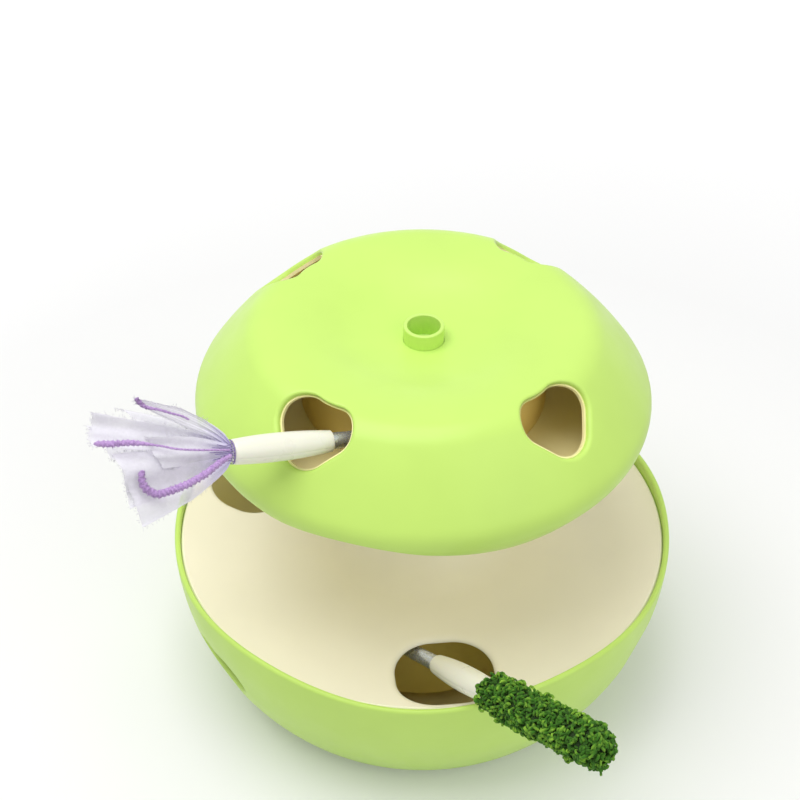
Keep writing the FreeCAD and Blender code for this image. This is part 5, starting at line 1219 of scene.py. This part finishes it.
class CATTEASER_OT_make_flower(bpy.types.Operator):
    """Make the chiffon flower: its gathered strips, frayed threads, twisted cords and wound knot"""

    bl_idname = "cat_teaser.make_flower"
    bl_label = "Chiffon Flower"

    def execute(self, context):
        settings = context.scene.cat_teaser_flower
        chance = np.random.default_rng(5)
        cloth = chiffon_finish("white_chiffon_finish", settings.chiffon, srgb(194, 182, 232))
        lilac = yarn_finish("lilac_yarn", settings.lilac, srgb(150, 112, 176))
        for name, (spots, radii) in CORDS.items():
            line = smooth_line(flower_points(*np.array(spots).T), 260)
            skin = Skin()
            tube(skin, line, yarn_sizes(line, radii, chance), (0.3, 0.2, 0.93))
            cord = skin.piece(name, lilac, merge=False, sharp=180.0)
            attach(cord, "upper_wand")
        edges = []
        for name, *shape in PETALS:
            points, along, across = petal_surface(chance, *shape)
            edges.append(self.cut_edges(points))
            skin = Skin()
            skin.grid(points)
            sheet = skin.piece(name, cloth, merge=False, sharp=180.0)
            self.dress_sheet(sheet, along, across, shape[0], shape[4], settings.opacity)
            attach(sheet, "upper_wand")
            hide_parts("chiffon_flower")
        self.fray(settings, chance, edges)
        self.wind_knot(yarn_finish("dark_thread", srgb(150, 130, 190), srgb(84, 64, 120), 0.15))
        return {"FINISHED"}

    def dress_sheet(self, sheet, along, across, reach, half_end, opacity):
        """What the cloth's finish reads: a UV map in metres, nearness to the knot, and body.

        Both fall off along the strip as a bell, and the body also rises at the hem.
        """
        store(sheet, "near_knot", 0.6 * np.exp(-(along / 0.24) ** 2))
        hem = np.clip((np.abs(across) - 0.93) / 0.07, 0, 1)
        store(sheet, "sheer", opacity * (1 + 0.9 * np.exp(-(along / 0.2) ** 2) + 0.35 * hem))
        corners = np.zeros(len(sheet.data.loops), np.int32)
        sheet.data.loops.foreach_get("vertex_index", corners)
        cut = np.stack([along.ravel() * reach * MM, across.ravel() * half_end * MM], -1)
        sheet.data.uv_layers.new(name="cut").data.foreach_set("uv", cut[corners].ravel().astype(np.float32))

    def cut_edges(self, points):
        """Places, outward headings and normals along a strip's two sides and its end."""
        rows = len(points) // 4
        rims = ((points[rows:, 0], points[rows:, 1]), (points[rows:, -1], points[rows:, -2]),
                (points[-1], points[-2]))
        spots = np.concatenate([rim for rim, _ in rims])
        heads = np.concatenate([rim - inner for rim, inner in rims])
        along = np.concatenate([np.gradient(rim, axis=0) for rim, _ in rims])
        return spots, unit(heads), unit(np.cross(heads, along))

    def fray(self, settings, chance, edges):
        """Loose threads at the cut edges: short curled fingers, thin as a hair, that point outwards."""
        spots, heads, normals = (np.concatenate(part) for part in zip(*edges))
        pick = chance.choice(len(spots), min(FRAYS, len(spots)), replace=False)
        spots, heads, normals = spots[pick], heads[pick], normals[pick]
        heads = unit(heads + 0.5 * chance.normal(0, 1, heads.shape))
        sides = normals + 0.3 * chance.normal(0, 1, heads.shape)
        sides = unit(sides - heads * np.sum(sides * heads, 1, keepdims=True))
        lengths = chance.uniform(0.4, 1.7, len(pick))
        points, faces, _ = curled_loops(spots, heads, sides, lengths, chance.uniform(0.4, 2.4, len(pick)),
                                        np.full(len(pick), FRAY_THICK), rings=6, round_count=3)
        skin = Skin()
        skin.add(points, faces)
        finish = yarn_finish("fray_thread", settings.chiffon, srgb(196, 188, 212))
        frays = skin.piece("frayed_threads", finish, merge=False, sharp=180.0)
        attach(frays, "upper_wand")

    def wind_knot(self, finish):
        """Thread wound round the neck: a helix of turns about the wand, and stitches along the folds."""
        skin = Skin()
        turns, count, thread = 2, 140, 0.14
        share = np.linspace(0, 1, count)
        angle = share * turns * 2 * math.pi
        radius = 4.3 + 0.12 * np.sin(5 * angle)
        local = np.stack([radius * np.cos(angle), radius * np.sin(angle), 0.35 + 0.4 * share], -1)
        lines = [(put(wand_place(UPPER_WAND, UPPER_STICK_END), local), thread)]
        for lift, reach in STITCHES:
            spots = ((0.4, 3.6 * lift, -4.4 + 2.2 * lift ** 2), (2.0, 2.9 * lift, -4.7 + 1.4 * lift ** 2),
                     (0.5 + 0.55 * reach, 2.6 * lift + 0.2, -5.2 + 0.8 * lift ** 2),
                     (0.5 + reach, 3.4 * lift + 0.3, -5.7))
            lines.append((smooth_line(flower_points(*np.array(spots).T), 30), 0.13))
        for line, size in lines:
            sizes = np.full((len(line), 7), size)
            sizes[[0, -1]] = 0.01
            tube(skin, line, sizes, (0.31, 0.52, 0.8))
        knot = skin.piece("wound_knot", finish, merge=False, sharp=180.0)
        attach(knot, "upper_wand")
        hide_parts("flower_tie")


def halves(*names):
    """Names of the like nodes in the lower and the upper half."""
    return tuple(half + name for half in ("lower_", "upper_") for name in names)


# Finishes of the packed model's own pieces: name, colour, roughness and nodes, for each kind of finish
INNER = {
    moulded: (("base_plastic_finish", (252, 236, 170), 0.5, ("base_cover", *halves("motor_plate"))),
              ("turret_plastic_finish", (250, 222, 134), 0.42, halves("turret_drum", "drum_lid")),
              ("button_plastic_finish", (240, 238, 228), 0.3, ("power_button",)),
              ("gearbox_plastic_finish", (232, 204, 92), 0.4, halves("drive_gearbox")),
              ("gear_plastic_finish", (236, 236, 230), 0.32, halves("drive_pinion", "push_pinion",
                                                                   "retaining_ring", "wand_rack")),
              ("chip_black_finish", (28, 28, 30), 0.35, ("control_chip", "tactile_switch"))),
    metal: (("screw_steel_finish", (190, 190, 188), 0.32, ("base_screws", "column_screws", "dome_screws",
                                                          "motor_plate_screws")),
            ("spindle_steel_finish", (200, 200, 200), 0.28, ("centre_spindle",)),
            ("port_steel_finish", (205, 206, 208), 0.25, ("charging_port",)),
            ("motor_can_finish", (186, 188, 190), 0.24, halves("drive_motor", "push_motor"))),
    rubber: (("silicone_finish", (222, 226, 214), 0.75, ("anti_slip_pad",)),
             ("battery_wrap_finish", (58, 112, 176), 0.35, ("battery",)),
             ("circuit_board_finish", (20, 92, 52), 0.4, ("main_board", "switch_board", "port_board"))),
}


class CATTEASER_OT_finish_inside(bpy.types.Operator):
    """Finish the drums, drives, boards, battery, screws and the other pieces kept from the packed model"""

    bl_idname = "cat_teaser.finish_inside"
    bl_label = "Inner Pieces"

    def execute(self, context):
        for maker, rows in INNER.items():
            for name, colour, roughness, names in rows:
                repaint(names, maker(name, srgb(*colour), roughness))
        return {"FINISHED"}


# Lamps that face AIM: place, width and share of the main lamp's power
LAMPS = {"key_lamp": ((-0.3, -0.05, 1.35), 1.1, 1.0), "fill_lamp": ((0.7, -0.7, 0.8), 0.9, 0.2)}
AIM = np.array([0.0, 0.0, 0.09])
# The floor: distances between which its glow grows, the glow at each, half its width and where it bends up
GLOW_FROM, GLOW_TO, GLOW_NEAR, GLOW_FAR = 0.3, 1.3, 0.11, 0.75
FLOOR_HALF, FLOOR_FLAT = 3.0, 2.0


class CATTEASER_OT_make_stage(bpy.types.Operator):
    """Set the floor, the even light, the lamps and the camera"""

    bl_idname = "cat_teaser.make_stage"
    bl_label = "Stage"

    def execute(self, context):
        settings = context.scene.cat_teaser_stage
        self.make_floor(settings)
        self.make_world(context, settings)
        for name, (spot, size, share) in LAMPS.items():
            self.make_lamp(name, spot, size, settings.key_power * share)
        data = bpy.data.cameras.new("photo_camera")
        data.lens, data.sensor_width, data.clip_start = CAMERA_LENS, 36.0, 0.01
        camera = bpy.data.objects.new("photo_camera", data)
        camera.location = CAMERA_SPOT
        camera.rotation_euler = (CAMERA_PITCH, 0.0, 0.0)
        context.scene.collection.objects.link(camera)
        context.scene.camera = camera
        context.scene.view_settings.view_transform = "Standard"
        return {"FINISHED"}

    def seen(self, tree):
        """1 for a ray of the camera, a reflection or a transmission, else 0."""
        path = node(tree, "ShaderNodeLightPath").outputs
        first = combine(tree, "MAXIMUM", path["Is Camera Ray"], path["Is Glossy Ray"])
        return combine(tree, "MAXIMUM", first, path["Is Transmission Ray"])

    def make_floor(self, settings):
        """A wide floor that curves up behind: its height is a quarter circle of the way back."""
        across = np.linspace(-FLOOR_HALF, FLOOR_HALF, 13)
        back = np.concatenate([[-FLOOR_HALF], np.linspace(FLOOR_FLAT, FLOOR_HALF, 14)])
        height = 1 - np.sqrt(1 - np.clip(back - FLOOR_FLAT, 0, 1) ** 2)
        x, y = np.meshgrid(across, back)
        points = np.stack([x, y, np.broadcast_to(height[:, None], x.shape)], -1) / MM
        skin = Skin()
        skin.grid(points[:, ::-1])
        finish = bpy.data.materials.new("floor_finish")
        finish.use_nodes = True
        tree = finish.node_tree
        tree.nodes.remove(tree.nodes["Principled BSDF"])
        matt = node(tree, "ShaderNodeBsdfDiffuse", Color=settings.floor)
        place = node(tree, "ShaderNodeTexCoord").outputs["Object"]
        away = node(tree, "ShaderNodeVectorMath", i0=place)
        away.operation = "LENGTH"
        there = node(tree, "ShaderNodeMapRange", Value=away.outputs["Value"], i1=GLOW_FROM, i2=GLOW_TO,
                     i3=GLOW_NEAR, i4=GLOW_FAR)
        lift = combine(tree, "MULTIPLY", self.seen(tree), there.outputs["Result"])
        glow = node(tree, "ShaderNodeEmission", Color=(1, 1, 1, 1), Strength=lift)
        both = node(tree, "ShaderNodeAddShader", i0=matt.outputs[0], i1=glow.outputs[0])
        tree.links.new(both.outputs[0], tree.nodes["Material Output"].inputs["Surface"])
        floor = skin.piece("floor", finish, merge=False, sharp=180.0)

    def make_world(self, context, settings):
        """White to the camera and to reflections, and an even light for everything else."""
        world = bpy.data.worlds.new("studio")
        context.scene.world = world
        world.use_nodes = True
        tree = world.node_tree
        strength = node(tree, "ShaderNodeMapRange", Value=self.seen(tree), i1=0.0, i2=1.0,
                        i3=settings.ambient, i4=1.0)
        tree.links.new(strength.outputs[0], tree.nodes["Background"].inputs["Strength"])
        tree.nodes["Background"].inputs["Color"].default_value = (1, 1, 1, 1)

    def make_lamp(self, name, spot, size, power):
        """A square soft lamp that faces the toy's middle."""
        data = bpy.data.lights.new(name, "AREA")
        data.shape, data.size, data.energy = "SQUARE", size, power
        lamp = bpy.data.objects.new(name, data)
        aim = AIM - np.array(spot)
        level = math.hypot(aim[0], aim[1])
        lamp.location = spot
        lamp.rotation_euler = (math.atan2(level, -aim[2]), 0.0, math.atan2(aim[0], -aim[1]) + math.pi)
        bpy.context.scene.collection.objects.link(lamp)


class CATTEASER_PT_pieces(bpy.types.Panel):
    """Lists the toy's pieces and their settings"""

    bl_idname = "CATTEASER_PT_pieces"
    bl_label = "Cat Teaser"
    bl_space_type = "VIEW_3D"
    bl_region_type = "UI"
    bl_category = "Cat Teaser"

    def draw(self, context):
        layout = self.layout
        for operator in OPERATORS:
            layout.operator(operator.bl_idname)
        for group_name, group in GROUPS.items():
            box = layout.box()
            box.label(text=group.__doc__)
            settings = getattr(context.scene, group_name)
            for field in group.__annotations__:
                box.prop(settings, field)


GROUPS = {"cat_teaser_shells": ShellSettings, "cat_teaser_wands": WandSettings,
          "cat_teaser_flower": FlowerSettings, "cat_teaser_stage": StageSettings}
OPERATORS = (CATTEASER_OT_make_dome, CATTEASER_OT_make_bowl, CATTEASER_OT_make_flesh, CATTEASER_OT_make_stem,
             CATTEASER_OT_make_wands, CATTEASER_OT_make_plush, CATTEASER_OT_make_flower,
             CATTEASER_OT_finish_inside, CATTEASER_OT_make_stage)


def register():
    """Register the settings, the operators and the panel."""
    for name, group in GROUPS.items():
        bpy.utils.register_class(group)
        setattr(bpy.types.Scene, name, PointerProperty(type=group))
    for cls in (*OPERATORS, CATTEASER_PT_pieces):
        bpy.utils.register_class(cls)


def unregister():
    """Take back everything that register added."""
    for cls in (CATTEASER_PT_pieces, *reversed(OPERATORS)):
        bpy.utils.unregister_class(cls)
    for name, group in GROUPS.items():
        delattr(bpy.types.Scene, name)
        bpy.utils.unregister_class(group)


def main():
    """Register and make every piece in order."""
    register()
    for operator in OPERATORS:
        group, name = operator.bl_idname.split(".")
        getattr(getattr(bpy.ops, group), name)()


if __name__ == "__main__":
    main()
